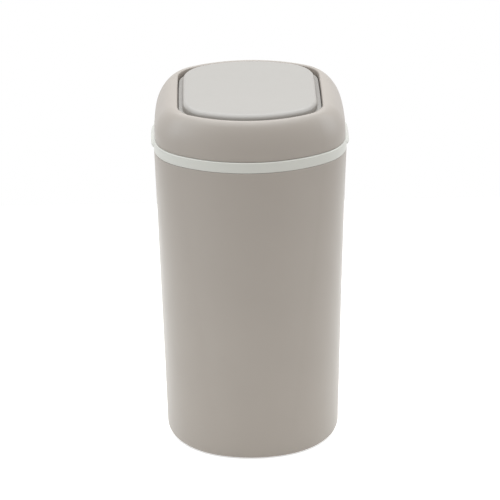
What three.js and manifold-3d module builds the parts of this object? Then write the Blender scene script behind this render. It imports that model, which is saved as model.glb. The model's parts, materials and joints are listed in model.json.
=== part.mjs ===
/**
 * Nappy bin with a swinging flap, in millimetres, +Z up, front towards -Y.
 * The floor is z = 0 and the bin's upright axis is x = y = 0.
 */
import * as THREE from 'three';
import { mergeVertices } from 'three/addons/utils/BufferGeometryUtils.js';
import Module from 'manifold-3d';

const wasm = await Module();
wasm.setup();

// Clearances and small edges shared by several pieces
const seatGap = 0.3;
const slideGap = 0.6;
const edgeRound = 0.7;
const overrun = 2;
const weldDistance = 1e-5;

// Plan outlines: half sizes and the radii of the side, front and corner arcs
const mouthHalf = 125;
const mouthSideRadius = 770;
const mouthFrontRadius = 163.5;
const mouthCornerRadius = 72;
const tubTaper = 9.2;
const footprintHalf = mouthHalf - tubTaper;
const footprintArcRadius = 140;
const footprintCornerRadius = 102;
const shoulderWidth = 32.4;
const shoulderDepth = 16.4;
const openingHalfWidth = mouthHalf - shoulderWidth;
const openingHalfDepth = mouthHalf - shoulderDepth;
const openingSideRadius = 4000;
const openingFrontRadius = 140;
const openingCornerRadius = 40;

// Tub
const footLift = 1.6;
const tubTop = 414.4;
const tubWall = 2.6;
const tubFloor = 3.2;
const tubEdgeRadius = 4;
const baseBandWidth = 24;
const baseRise = 3;
const baseRiseRun = 4;
const neckInset = 3.4;
const neckWall = 2.2;
const neckHeight = 9.6;
const neckRootDepth = 4;
const neckBlendDepth = 12;

// Feet
const footRadius = 10;
const footRecess = 1.4;
const footInset = 15;

// Bag ring
const ringHeight = 14;
const ringBandWall = 2.4;
const ringRoof = 2.4;
const ringUpstand = 5.6;
const ringSkirtDepth = 12;
const ringSkirtWall = 1.8;
const gripReach = 3.4;
const gripHalfLength = 36;
const gripHeight = 8.4;
const gripRoot = 1;
const gripRound = 1.2;

// Cap shell
const capInset = 1.8;
const capWall = 2.5;
const capRise = 51.4;
const capStraight = 12;
const rimRound = 3;
const rimLip = 10;
const rimLipWall = 2;

// Cap frame and its gasket
const frameWall = 2.2;
const frameFlange = 2.5;
const frameFlangeReach = 14.5;
const frameSpigotDepth = 19.5;
const frameSideGap = 0.5;
const gasketHeight = 2.8;
const frameScrewInset = 12.5;
const frameBossRadius = 4;

// Flap
const flapRise = 3.7;
const flapFillet = 6;
const flapSideStep = 5.4;
const flapEndStep = 4.4;
const flapRunningGap = 1.2;
const flapEndGap = 2.8;
const flapWall = 2;
const flapSkin = 2.2;
const flapCornerRadius = 48;
const ledgeDrop = 6.8;
const ledgeThickness = 2.4;
const ledgeRimHeight = 3.4;
const ledgeRimWall = 1.6;
const sealHeight = 2;
const sealWidth = 6;
const sealReach = 0.8;
const flapScrewInset = 18;
const flapBossRadius = 4;

// Pivot, its bearings and the swing stops
const pivotDrop = 17.4;
const pinRadius = 3;
const pinHeadRadius = 5;
const pinHead = 2.2;
const cheekFromEdge = 7.6;
const cheekThickness = 5;
const cheekHalfWidth = 14;
const cheekBelowPivot = 13;
const bushWall = 2.2;
const bushLength = 12;
const bushFlange = 1.2;
const bushFlangeRadius = 7.4;
const bearingHalfWidth = 15.5;
const bearingFromRim = 3.4;
const clampDepth = 8;
const clampScrewY = 11;
const swingLimit = THREE.MathUtils.degToRad(65);
const stopRibHalf = 1.5;
const stopRibReach = 12;
const stopRibGap = 1.6;
const stopLugFrom = 8.5;
const stopLugWidth = 4;

// Counterweight
const weightEndGap = 8.8;
const weightWidth = 20;
const weightHeight = 9;
const weightBelowPivot = 13.3;
const weightPostInset = 20;
const weightPostRadius = 5;
const spineHalf = 1.5;
const spineDepth = 7;

// Screws: shank radius, head radius, head height and thread length
const smallScrew = { shank: 1.5, head: 2.9, headHeight: 2, thread: 9.5 };
const weightScrew = { shank: 2, head: 4, headHeight: 2.4, thread: 20 };

// How finely curves are drawn
const sideSteps = 2;
const cornerSteps = 6;
const frontSteps = 4;
const filletSteps = 3;
const shoulderSteps = 6;
const roundSides = 20;
const screwSides = 12;

// Heights that follow from the sizes above
const neckTop = tubTop + neckHeight;
const ringLow = tubTop + seatGap;
const ringTop = ringLow + ringHeight;
const ringRoofLow = ringTop - ringRoof;
const ringUpstandTop = ringTop + ringUpstand;
const capLow = ringTop + seatGap;
const rimTop = capLow + capRise;
const gasketLow = ringUpstandTop + seatGap;
const flangeLow = gasketLow + gasketHeight + seatGap;
const flangeTop = flangeLow + frameFlange;
const flapTopZ = rimTop + flapRise;
const ledgeTop = rimTop - ledgeDrop;
const ledgeLow = ledgeTop - ledgeThickness;
const pivotZ = rimTop - pivotDrop;

// Widths that follow
const ringInnerInset = neckInset + neckWall + slideGap + ringSkirtWall;
const spigotInset = ringInnerInset - capInset + slideGap;
const bushRadius = pinRadius + seatGap + bushWall;
const cheekOuterX = openingHalfWidth - flapRunningGap - cheekFromEdge;
const cheekInnerX = cheekOuterX - cheekThickness;
const bearingX = openingHalfWidth + bearingFromRim;

const paints = {
  taupe: { color: 0xa0968b, roughness: 0.62, metalness: 0 },
  light: { color: 0xcfcdc6, roughness: 0.5, metalness: 0 },
  flap: { color: 0xa29e98, roughness: 0.55, metalness: 0 },
  inner: { color: 0x8d857c, roughness: 0.6, metalness: 0 },
  rubber: { color: 0x857f78, roughness: 0.85, metalness: 0 },
  bush: { color: 0xe6e3dc, roughness: 0.4, metalness: 0 },
  steel: { color: 0xb4b4b2, roughness: 0.3, metalness: 1 },
};

const bin = new THREE.Group();

/** Adds one named piece to the bin with a material of its own. */
function addPiece(name, geometry, paint) {
  const mesh = new THREE.Mesh(geometry, new THREE.MeshStandardMaterial(paint));
  mesh.name = name;
  bin.add(mesh);
}

/** Points on an arc, from one angle towards another, without the last one. */
function arcPoints(cx, cy, radius, from, to, steps) {
  return Array.from({ length: steps }, (_, i) => {
    const angle = from + ((to - from) * i) / steps;
    return new THREE.Vector2(cx + radius * Math.cos(angle), cy + radius * Math.sin(angle));
  });
}

/**
 * A rounded-square outline made of tangent side, corner and front arcs,
 * moved inwards by an inset, as a loop of points that starts on +X.
 */
function outline({ half, depth, side, front, corner }, inset = 0) {
  const sideX = half - side;
  const frontY = depth - front;
  const toSide = side - corner;
  const toFront = front - corner;
  const span = Math.hypot(sideX, frontY);
  const along = (toSide ** 2 - toFront ** 2 + span ** 2) / (2 * span);
  const across = Math.sqrt(toSide ** 2 - along ** 2);
  const ux = -sideX / span;
  const uy = frontY / span;
  const cornerX = sideX + ux * along - uy * across;
  const cornerY = uy * along + ux * across;
  const a0 = Math.atan2(cornerY, cornerX - sideX);
  const a1 = Math.atan2(cornerY - frontY, cornerX);
  const quarter = [
    ...arcPoints(sideX, 0, side - inset, 0, a0, sideSteps),
    ...arcPoints(cornerX, cornerY, corner - inset, a0, a1, cornerSteps),
    ...arcPoints(0, frontY, front - inset, a1, Math.PI / 2, frontSteps),
    new THREE.Vector2(0, depth - inset),
  ];
  const last = quarter.length - 1;
  const mirrored = (points, sx, sy) => points.map((p) => new THREE.Vector2(p.x * sx, p.y * sy));
  return [
    ...quarter,
    ...mirrored(quarter.slice(0, last).reverse(), -1, 1),
    ...mirrored(quarter.slice(1), -1, -1),
    ...mirrored(quarter.slice(1, last).reverse(), 1, -1),
  ];
}

const mouthPlan = {
  half: mouthHalf,
  depth: mouthHalf,
  side: mouthSideRadius,
  front: mouthFrontRadius,
  corner: mouthCornerRadius,
};
const footprintPlan = {
  half: footprintHalf,
  depth: footprintHalf,
  side: footprintArcRadius,
  front: footprintArcRadius,
  corner: footprintCornerRadius,
};
const openingPlan = {
  half: openingHalfWidth,
  depth: openingHalfDepth,
  side: openingSideRadius,
  front: openingFrontRadius,
  corner: openingCornerRadius,
};
const ledgePlan = {
  half: openingHalfWidth - flapRunningGap,
  depth: openingHalfDepth - flapEndGap,
  side: openingSideRadius,
  front: openingFrontRadius - flapEndGap,
  corner: openingCornerRadius - flapRunningGap,
};
const panelPlan = {
  ...ledgePlan,
  half: ledgePlan.half - flapSideStep,
  depth: ledgePlan.depth - flapEndStep,
  corner: flapCornerRadius,
};

/** Point by point mixture of two loops, at one height. */
function blendLoop(from, to, share, z) {
  return from.map((p, i) => {
    const q = p.clone().lerp(to[i], share);
    return new THREE.Vector3(q.x, q.y, z);
  });
}

/** One loop of a plan outline at a height. */
function planLoop(plan, inset, z) {
  return outline(plan, inset).map((p) => new THREE.Vector3(p.x, p.y, z));
}

/**
 * Skins loops that run up the outside, over the top and down the inside.
 * A closed sweep joins the last loop to the first; an open one is capped
 * with a flat face at both ends.
 */
function sweep(loops, closed) {
  const count = loops[0].length;
  const points = loops.flat();
  const index = [];
  const joins = closed ? loops.length : loops.length - 1;
  for (let row = 0; row < joins; row += 1) {
    const low = row * count;
    const high = ((row + 1) % loops.length) * count;
    for (let i = 0; i < count; i += 1) {
      const next = (i + 1) % count;
      index.push(low + i, low + next, high + next, low + i, high + next, high + i);
    }
  }
  if (!closed) {
    const last = (loops.length - 1) * count;
    points.push(middle(loops[0]), middle(loops[loops.length - 1]));
    for (let i = 0; i < count; i += 1) {
      const next = (i + 1) % count;
      index.push(points.length - 2, next, i, points.length - 1, last + i, last + next);
    }
  }
  const geometry = new THREE.BufferGeometry().setFromPoints(points);
  geometry.setIndex(index);
  return geometry;
}

/** The centre of a flat loop. */
function middle(loop) {
  const sum = loop.reduce((total, p) => total.add(p), new THREE.Vector3());
  return sum.divideScalar(loop.length);
}

/** Sweeps a list of [inset, z] pairs round a plan outline. */
function sweepPlan(plan, profile, closed) {
  return sweep(profile.map(([inset, z]) => planLoop(plan, inset, z)), closed);
}

/** Turns a closed geometry into a solid that can be joined and cut. */
function solid(geometry) {
  const bare = geometry.clone();
  bare.deleteAttribute('normal');
  bare.deleteAttribute('uv');
  const merged = mergeVertices(bare, weldDistance);
  return new wasm.Manifold(new wasm.Mesh({
    numProp: 3,
    vertProperties: new Float32Array(merged.attributes.position.array),
    triVerts: new Uint32Array(merged.index.array),
  }));
}

/** Gives a joined or cut solid back as a geometry. */
function toGeometry(manifold) {
  const mesh = manifold.getMesh();
  const geometry = new THREE.BufferGeometry();
  geometry.setAttribute('position', new THREE.BufferAttribute(new Float32Array(mesh.vertProperties), 3));
  geometry.setIndex(new THREE.BufferAttribute(new Uint32Array(mesh.triVerts), 1));
  geometry.computeVertexNormals();
  return geometry;
}

/** Joins solids, then cuts others away from the result. */
function carve(added, removed = []) {
  const whole = added.reduce((total, part) => total.add(part));
  return removed.reduce((total, part) => total.subtract(part), whole);
}

/** A block between two corners. */
function block(x0, x1, y0, y1, z0, z1) {
  const geometry = new THREE.BoxGeometry(Math.abs(x1 - x0), y1 - y0, z1 - z0);
  return solid(geometry.translate((x0 + x1) / 2, (y0 + y1) / 2, (z0 + z1) / 2));
}

/** A round bar along Z. */
function post(x, y, radius, z0, z1, sides = roundSides) {
  const geometry = new THREE.CylinderGeometry(radius, radius, z1 - z0, sides);
  geometry.rotateX(Math.PI / 2);
  return solid(geometry.translate(x, y, (z0 + z1) / 2));
}

/** A round bar along X on the pivot axis. */
function axle(radius, x0, x1, z = pivotZ) {
  const geometry = new THREE.CylinderGeometry(radius, radius, Math.abs(x1 - x0), roundSides);
  geometry.rotateZ(Math.PI / 2);
  return solid(geometry.translate((x0 + x1) / 2, 0, z));
}

/** Turns a profile of [radius, height] pairs round the Z axis. */
function turned(profile, sides) {
  const points = profile.map(([r, h]) => new THREE.Vector2(r, h));
  const geometry = new THREE.LatheGeometry(points, sides);
  return geometry.rotateX(Math.PI / 2);
}

/** A screw driven upwards, with the underside of its head at z. */
function screw(name, x, y, z, size) {
  const slot = size.shank;
  const geometry = turned([
    [0, -size.headHeight + slot / 2],
    [slot, -size.headHeight + slot / 2],
    [slot, -size.headHeight],
    [size.head - edgeRound, -size.headHeight],
    [size.head, -size.headHeight + edgeRound],
    [size.head, 0],
    [size.shank, 0],
    [size.shank, size.thread - size.shank],
    [0, size.thread],
  ], screwSides);
  addPiece(name, toGeometry(solid(geometry.translate(x, y, z))), paints.steel);
}

/** The hole that a screw of one size runs in, from z upwards. */
function screwHole(x, y, z, size) {
  return post(x, y, size.shank + seatGap, z - overrun, z + size.thread + seatGap, screwSides);
}

/** The point on a plan's diagonal corner, moved inwards. */
function cornerPlace(plan, inset) {
  const loop = outline(plan, inset);
  return loop[sideSteps + cornerSteps / 2];
}

/** The four mirrored places of one point. */
function fourPlaces(p) {
  return [[-1, -1], [1, -1], [1, 1], [-1, 1]].map(([sx, sy]) => ({ x: p.x * sx, y: p.y * sy }));
}

/** The tub's outline at any height: its footprint blends to its mouth. */
function tubLoop(inset, z) {
  const share = Math.min(1, Math.max(0, (z - footLift) / (tubTop - footLift)));
  return blendLoop(outline(footprintPlan, inset), outline(mouthPlan, inset), share, z);
}

const footPlaces = fourPlaces(cornerPlace(footprintPlan, footInset));

function makeTub() {
  const edge = Array.from({ length: filletSteps + 1 }, (_, i) => {
    const turn = (Math.PI / 2) * (i / filletSteps);
    return [tubEdgeRadius * (1 - Math.sin(turn)), footLift + tubEdgeRadius * (1 - Math.cos(turn))];
  });
  const neckInner = neckInset + neckWall;
  const floorTop = footLift + baseRise + tubFloor;
  const profile = [
    [baseBandWidth + baseRiseRun, footLift + baseRise],
    [baseBandWidth, footLift],
    ...edge,
    [0, tubTop - edgeRound],
    [edgeRound, tubTop],
    [neckInset, tubTop],
    [neckInset, neckTop - edgeRound],
    [neckInset + edgeRound, neckTop],
    [neckInner - edgeRound, neckTop],
    [neckInner, neckTop - edgeRound],
    [neckInner, tubTop - neckRootDepth],
    [tubWall, tubTop - neckRootDepth - neckBlendDepth],
    [tubWall, floorTop + tubEdgeRadius],
    [tubWall + tubEdgeRadius, floorTop],
  ];
  const shell = solid(sweep(profile.map(([inset, z]) => tubLoop(inset, z)), false));
  const recesses = footPlaces.map(({ x, y }) =>
    post(x, y, footRadius + seatGap, footLift - overrun, footLift + footRecess));
  addPiece('tub', toGeometry(carve([shell], recesses)), paints.taupe);
}

function makeFeet() {
  const top = footLift + footRecess - seatGap;
  footPlaces.forEach(({ x, y }, i) => {
    const foot = turned([
      [0, 0],
      [footRadius - edgeRound, 0],
      [footRadius, edgeRound],
      [footRadius, top],
      [0, top],
    ], roundSides);
    addPiece(`foot_${i + 1}`, toGeometry(solid(foot.translate(x, y, 0))), paints.rubber);
  });
}

/** One side grip: half an ellipse with rounded upper and lower edges, proud of the ring. */
function grip(side) {
  const root = mouthHalf - gripRoot;
  const gripLoop = (inset, z) => Array.from({ length: roundSides + 1 }, (_, i) => {
    const angle = Math.PI * (i / roundSides) - Math.PI / 2;
    const x = root + (gripReach + gripRoot - inset) * Math.cos(angle);
    const y = (gripHalfLength - inset) * Math.sin(angle);
    return new THREE.Vector3(side * x, side * y, z);
  });
  return solid(sweep([
    gripLoop(gripRound, ringLow),
    gripLoop(0, ringLow + gripRound),
    gripLoop(0, ringLow + gripHeight - gripRound),
    gripLoop(gripRound, ringLow + gripHeight),
  ], false));
}

function makeBagRing() {
  const skirtOuter = neckInset + neckWall + slideGap;
  const skirtLow = tubTop - ringSkirtDepth;
  const upstandOuter = ringInnerInset - frameWall;
  const band = sweepPlan(mouthPlan, [
    [edgeRound, ringLow],
    [0, ringLow + edgeRound],
    [0, ringTop - edgeRound],
    [edgeRound, ringTop],
    [upstandOuter, ringTop],
    [upstandOuter, ringUpstandTop - edgeRound],
    [upstandOuter + edgeRound, ringUpstandTop],
    [ringInnerInset - edgeRound, ringUpstandTop],
    [ringInnerInset, ringUpstandTop - edgeRound],
    [ringInnerInset, skirtLow],
    [skirtOuter, skirtLow],
    [skirtOuter, ringRoofLow],
    [ringBandWall, ringRoofLow],
    [ringBandWall, ringLow],
  ], true);
  const ring = carve([solid(band), grip(1), grip(-1)]);
  addPiece('bag_ring', toGeometry(ring), paints.light);
}

function makeRingGasket() {
  const low = neckTop + seatGap;
  const high = ringRoofLow - seatGap;
  const gasket = sweepPlan(mouthPlan, [
    [neckInset, low],
    [neckInset, high],
    [neckInset + neckWall, high],
    [neckInset + neckWall, low],
  ], true);
  addPiece('ring_gasket', toGeometry(solid(gasket)), paints.rubber);
}

/**
 * The cap's shoulder: a straight wall that rolls over to the opening's rim.
 * The two insets move its lower and its upper end.
 */
function shoulderLoops(lowInset, highInset, topZ) {
  const wallTop = capLow + capStraight;
  const lower = outline(mouthPlan, capInset + lowInset);
  const upper = outline(openingPlan, highInset);
  return Array.from({ length: shoulderSteps + 1 }, (_, i) => {
    const turn = (Math.PI / 2) * (i / shoulderSteps);
    const z = wallTop + (topZ - wallTop) * Math.sin(turn);
    return blendLoop(lower, upper, 1 - Math.cos(turn), z);
  });
}

/** The cap's outer form as a filled body, a little inside its skin. */
function capCore() {
  const depth = capWall / 2;
  const loops = [
    planLoop(mouthPlan, capInset + depth, capLow),
    ...shoulderLoops(depth, -rimRound - depth, rimTop - depth),
  ];
  return solid(sweep(loops, false));
}

const frameScrewPlaces = fourPlaces(cornerPlace(mouthPlan, capInset + frameScrewInset));

/** The blocks under the shoulder that hold the two bushes and the frame's screws. */
function capBosses() {
  const bearing = [1, -1].map((side) => block(
    side > 0 ? bearingX : -bearingX - bushLength,
    side > 0 ? bearingX + bushLength : -bearingX,
    -bearingHalfWidth,
    bearingHalfWidth,
    pivotZ + seatGap / 2,
    rimTop,
  ));
  const screws = frameScrewPlaces.map(({ x, y }) =>
    post(x, y, frameBossRadius, flangeTop + seatGap, rimTop));
  return [...bearing, ...screws].map((boss) => boss.intersect(capCore()));
}

/** The places of the four clamp screws, two at each bearing. */
function clampScrewPlaces() {
  const x = bearingX + bushLength / 2;
  return fourPlaces({ x, y: clampScrewY });
}

function makeCapShell() {
  const lipOuter = -rimLipWall;
  const loops = [
    planLoop(mouthPlan, capInset + edgeRound, capLow),
    planLoop(mouthPlan, capInset, capLow + edgeRound),
    ...shoulderLoops(0, -rimRound, rimTop),
    planLoop(openingPlan, -rimRound * (1 - Math.SQRT1_2), rimTop - rimRound * (1 - Math.SQRT1_2)),
    planLoop(openingPlan, 0, rimTop - rimRound),
    planLoop(openingPlan, 0, rimTop - rimLip),
    planLoop(openingPlan, lipOuter, rimTop - rimLip),
    ...shoulderLoops(capWall, lipOuter, rimTop - capWall).reverse(),
    planLoop(mouthPlan, capInset + capWall, capLow),
  ];
  const bearingEnd = bearingX + bushLength + overrun;
  const saddle = axle(bushRadius + seatGap, -bearingEnd, bearingEnd);
  const holes = [
    ...frameScrewPlaces.map(({ x, y }) => screwHole(x, y, flangeLow, smallScrew)),
    ...clampScrewPlaces().map(({ x, y }) => screwHole(x, y, pivotZ - clampDepth, smallScrew)),
  ];
  const shell = carve([solid(sweep(loops, true)), ...capBosses()], [saddle, ...holes]);
  addPiece('cap_shell', toGeometry(shell), paints.taupe);
}

function makeCapFrame() {
  const spigotLow = flangeLow - frameSpigotDepth;
  const flangeOuter = capInset + capWall + frameSideGap;
  const outer = capInset + spigotInset;
  const inner = outer + frameWall;
  const frame = sweepPlan(mouthPlan, [
    [outer + edgeRound, spigotLow],
    [outer, spigotLow + edgeRound],
    [outer, flangeLow],
    [flangeOuter, flangeLow],
    [flangeOuter, flangeTop],
    [flangeOuter + frameFlangeReach, flangeTop],
    [flangeOuter + frameFlangeReach, flangeLow],
    [inner, flangeLow],
    [inner, spigotLow],
  ], true);
  const holes = frameScrewPlaces.map(({ x, y }) => screwHole(x, y, flangeLow, smallScrew));
  addPiece('cap_frame', toGeometry(carve([solid(frame)], holes)), paints.inner);
  frameScrewPlaces.forEach(({ x, y }, i) =>
    screw(`frame_screw_${i + 1}`, x, y, flangeLow - seatGap, smallScrew));
}

function makeCapGasket() {
  const outer = capInset + capWall + frameSideGap;
  const inner = capInset + spigotInset - seatGap;
  const gasket = sweepPlan(mouthPlan, [
    [outer, gasketLow],
    [outer, gasketLow + gasketHeight],
    [inner, gasketLow + gasketHeight],
    [inner, gasketLow],
  ], true);
  addPiece('cap_gasket', toGeometry(solid(gasket)), paints.rubber);
}

/** Mirrors a solid to the left side where side is below zero. */
function onSide(side, part) {
  return side > 0 ? part : part.mirror([1, 0, 0]);
}

/** The flap's stop rib meets this height on the lug at the end of the swing. */
function stopLugLow() {
  const along = (stopLugFrom - stopRibHalf * Math.cos(swingLimit)) / Math.sin(swingLimit);
  return pivotZ - along * Math.cos(swingLimit) + stopRibHalf * Math.sin(swingLimit) + seatGap;
}

function makeBearing(name, side) {
  const bush = carve(
    [
      axle(bushRadius, bearingX - bushFlange - seatGap, bearingX + bushLength),
      axle(bushFlangeRadius, bearingX - bushFlange - seatGap, bearingX - seatGap),
    ],
    [axle(pinRadius + seatGap, bearingX - bushFlange - overrun, bearingX + bushLength + overrun)],
  );
  addPiece(`bush_${name}`, toGeometry(onSide(side, bush)), paints.bush);
  const splitZ = pivotZ - seatGap / 2;
  const clampLow = pivotZ - clampDepth;
  const lugs = [1, -1].map((end) => block(
    bearingX - bearingFromRim,
    bearingX + overrun,
    end > 0 ? stopLugFrom : -stopLugFrom - stopLugWidth,
    end > 0 ? stopLugFrom + stopLugWidth : -stopLugFrom,
    stopLugLow(),
    splitZ,
  ));
  const body = block(bearingX, bearingX + bushLength, -bearingHalfWidth, bearingHalfWidth, clampLow, splitZ);
  const places = [clampScrewY, -clampScrewY];
  const clamp = carve([body, ...lugs], [
    axle(bushRadius + seatGap, bearingX - overrun, bearingX + bushLength + overrun),
    ...places.map((y) => screwHole(bearingX + bushLength / 2, y, clampLow, smallScrew)),
  ]);
  addPiece(`bearing_clamp_${name}`, toGeometry(onSide(side, clamp)), paints.inner);
}

function makeBearings() {
  makeBearing('right', 1);
  makeBearing('left', -1);
  clampScrewPlaces().forEach(({ x, y }, i) =>
    screw(`clamp_screw_${i + 1}`, x, y, pivotZ - clampDepth - seatGap, smallScrew));
}

function makePin(name, side) {
  const pin = carve([
    axle(pinRadius, cheekInnerX - seatGap - pinHead / 2, bearingX + bushLength - seatGap),
    axle(pinHeadRadius, cheekInnerX - seatGap - pinHead, cheekInnerX - seatGap),
  ]);
  addPiece(`pivot_pin_${name}`, toGeometry(onSide(side, pin)), paints.steel);
}

const flapScrewPlaces = fourPlaces(cornerPlace(panelPlan, flapScrewInset));
const weightTop = pivotZ - weightBelowPivot;
const weightHalfLength = cheekInnerX - weightEndGap;
const weightPostX = weightHalfLength - weightPostInset;
const weightPlaces = [{ x: weightPostX, y: 0 }, { x: -weightPostX, y: 0 }];

function makeFlapTop() {
  const low = ledgeTop + seatGap;
  const roof = flapTopZ - flapSkin;
  const fillet = Array.from({ length: filletSteps + 2 }, (_, i) => {
    const turn = (Math.PI / 2) * (i / (filletSteps + 1));
    return [flapFillet * (1 - Math.cos(turn)), flapTopZ - flapFillet * (1 - Math.sin(turn))];
  });
  const panel = sweepPlan(panelPlan, [
    [flapFillet, roof],
    [flapWall, flapTopZ - flapFillet],
    [flapWall, low],
    [0, low],
    ...fillet,
  ], false);
  const bosses = flapScrewPlaces.map(({ x, y }) =>
    post(x, y, flapBossRadius, low, flapTopZ - flapSkin / 2));
  const holes = flapScrewPlaces.map(({ x, y }) => screwHole(x, y, ledgeLow, smallScrew));
  addPiece('flap_top', toGeometry(carve([solid(panel), ...bosses], holes)), paints.flap);
}

/** One pivot cheek under the flap's ledge, round at its lower end, with its stop rib. */
function cheek() {
  const round = pivotZ - cheekBelowPivot + cheekHalfWidth;
  const top = ledgeTop - ledgeThickness / 2;
  const web = block(cheekInnerX, cheekOuterX, -cheekHalfWidth, cheekHalfWidth, round - cheekHalfWidth, top);
  const rounding = carve([
    axle(cheekHalfWidth, cheekInnerX, cheekOuterX, round),
    block(cheekInnerX, cheekOuterX, -cheekHalfWidth, cheekHalfWidth, round, top),
  ]);
  const rib = block(
    cheekOuterX - overrun / 2,
    bearingX - bushFlange - seatGap * 2,
    -stopRibHalf,
    stopRibHalf,
    pivotZ - stopRibReach,
    pivotZ - bushFlangeRadius - stopRibGap / 2,
  );
  return [web.intersect(rounding), rib];
}

function makeFlapBase() {
  const plate = sweepPlan(ledgePlan, [
    [edgeRound, ledgeLow],
    [0, ledgeLow + edgeRound],
    [0, ledgeTop],
  ], false);
  const rimOuter = flapWall + seatGap;
  const rim = sweepPlan(panelPlan, [
    [rimOuter, ledgeTop - ledgeThickness / 2],
    [rimOuter, ledgeTop + ledgeRimHeight],
    [rimOuter + ledgeRimWall, ledgeTop + ledgeRimHeight],
    [rimOuter + ledgeRimWall, ledgeTop - ledgeThickness / 2],
  ], true);
  const cheeks = [1, -1].flatMap((side) => cheek().map((part) => onSide(side, part)));
  const posts = weightPlaces.map(({ x, y }) =>
    post(x, y, weightPostRadius, weightTop + seatGap, ledgeTop - ledgeThickness / 2));
  const spine = block(
    -cheekInnerX,
    cheekInnerX,
    -spineHalf,
    spineHalf,
    ledgeLow - spineDepth,
    ledgeTop - ledgeThickness / 2,
  );
  const holes = [
    ...flapScrewPlaces.map(({ x, y }) => screwHole(x, y, ledgeLow, smallScrew)),
    ...weightPlaces.map(({ x, y }) => screwHole(x, y, weightTop - weightHeight, weightScrew)),
    axle(pinRadius + seatGap, -openingHalfWidth, -cheekInnerX + overrun),
    axle(pinRadius + seatGap, cheekInnerX - overrun, openingHalfWidth),
    ...[1, -1].map((side) =>
      onSide(side, axle(pinHeadRadius + seatGap, cheekInnerX - pinHead - overrun, cheekInnerX))),
  ];
  const base = carve([solid(plate), solid(rim), ...cheeks, ...posts, spine], holes);
  addPiece('flap_base', toGeometry(base), paints.flap);
  flapScrewPlaces.forEach(({ x, y }, i) =>
    screw(`flap_screw_${i + 1}`, x, y, ledgeLow - seatGap, smallScrew));
}

function makeFlapSeal() {
  const high = ledgeLow - seatGap;
  const low = high - sealHeight;
  const seal = sweepPlan(ledgePlan, [
    [-sealReach + edgeRound, low],
    [-sealReach, low + edgeRound],
    [-sealReach, high],
    [sealWidth - sealReach, high],
    [sealWidth - sealReach, low],
  ], true);
  addPiece('flap_seal', toGeometry(solid(seal)), paints.rubber);
}

function makeCounterweight() {
  const low = weightTop - weightHeight;
  const halfWidth = weightWidth / 2;
  const bar = block(-weightHalfLength, weightHalfLength, -halfWidth, halfWidth, low, weightTop);
  const holes = weightPlaces.map(({ x, y }) => screwHole(x, y, low, weightScrew));
  addPiece('counterweight', toGeometry(carve([bar], holes)), paints.steel);
  weightPlaces.forEach(({ x, y }, i) =>
    screw(`weight_screw_${i + 1}`, x, y, low - seatGap, weightScrew));
}

makeTub();
makeFeet();
makeBagRing();
makeRingGasket();
makeCapShell();
makeCapFrame();
makeCapGasket();
makeBearings();
makeFlapTop();
makeFlapBase();
makeFlapSeal();
makePin('right', 1);
makePin('left', -1);
makeCounterweight();

export default bin;
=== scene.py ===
"""Nappy bin with a swinging flap: its fine surfaces, finishes, studio and camera.

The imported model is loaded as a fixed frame. A finer surface of the same size stands
for each of its nodes and rides on the same body. Everything is in metres, +Z up, with
the bin's front towards -Y and the floor at z = 0.
"""

import json
import logging
import math
from collections.abc import Sequence
from dataclasses import dataclass, replace
from enum import Enum

import bpy
import numpy as np
from mathutils import Matrix, Vector


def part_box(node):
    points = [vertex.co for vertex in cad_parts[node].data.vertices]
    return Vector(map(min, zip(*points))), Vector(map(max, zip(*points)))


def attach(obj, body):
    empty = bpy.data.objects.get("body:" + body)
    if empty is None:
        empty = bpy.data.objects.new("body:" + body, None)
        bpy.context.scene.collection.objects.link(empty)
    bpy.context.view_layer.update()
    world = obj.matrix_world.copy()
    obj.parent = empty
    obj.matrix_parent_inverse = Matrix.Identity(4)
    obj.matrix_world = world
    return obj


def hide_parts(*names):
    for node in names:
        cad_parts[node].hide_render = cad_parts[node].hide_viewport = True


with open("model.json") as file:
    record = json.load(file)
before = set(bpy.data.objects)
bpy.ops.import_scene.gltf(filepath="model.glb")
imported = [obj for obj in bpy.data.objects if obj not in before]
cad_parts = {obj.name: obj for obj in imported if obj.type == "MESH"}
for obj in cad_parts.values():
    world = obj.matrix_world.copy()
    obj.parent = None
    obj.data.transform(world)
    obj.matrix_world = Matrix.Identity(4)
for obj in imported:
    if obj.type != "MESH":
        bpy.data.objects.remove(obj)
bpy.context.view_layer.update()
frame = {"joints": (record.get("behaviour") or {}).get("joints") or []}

log = logging.getLogger("nappy_bin")

MM = 0.001
# Rows of points that are closer than this are one row.
SAME_PLACE = 1e-6
# The radius at which a turned profile starts and ends.
POLE = 0.0001
# The most that two rows lie apart on a turned surface, and on one carried along X.
TURNED_ROW = 0.002
CARRIED_ROW = 0.004
# How far inside its outline the tub's floor stops being rows and closes as a fan.
FLOOR_FAN = 0.062
# The same for the flap, which is smaller.
FLAP_FAN = 0.031

Corner = tuple[float, float, float]


# Surfaces as arrays


class Ends(Enum):
    """How a skin finishes at its first and last row."""

    JOINED = "the last row joins the first"
    FAN = "a fan of triangles round the row's middle"
    FLAT = "one flat face"


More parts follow.
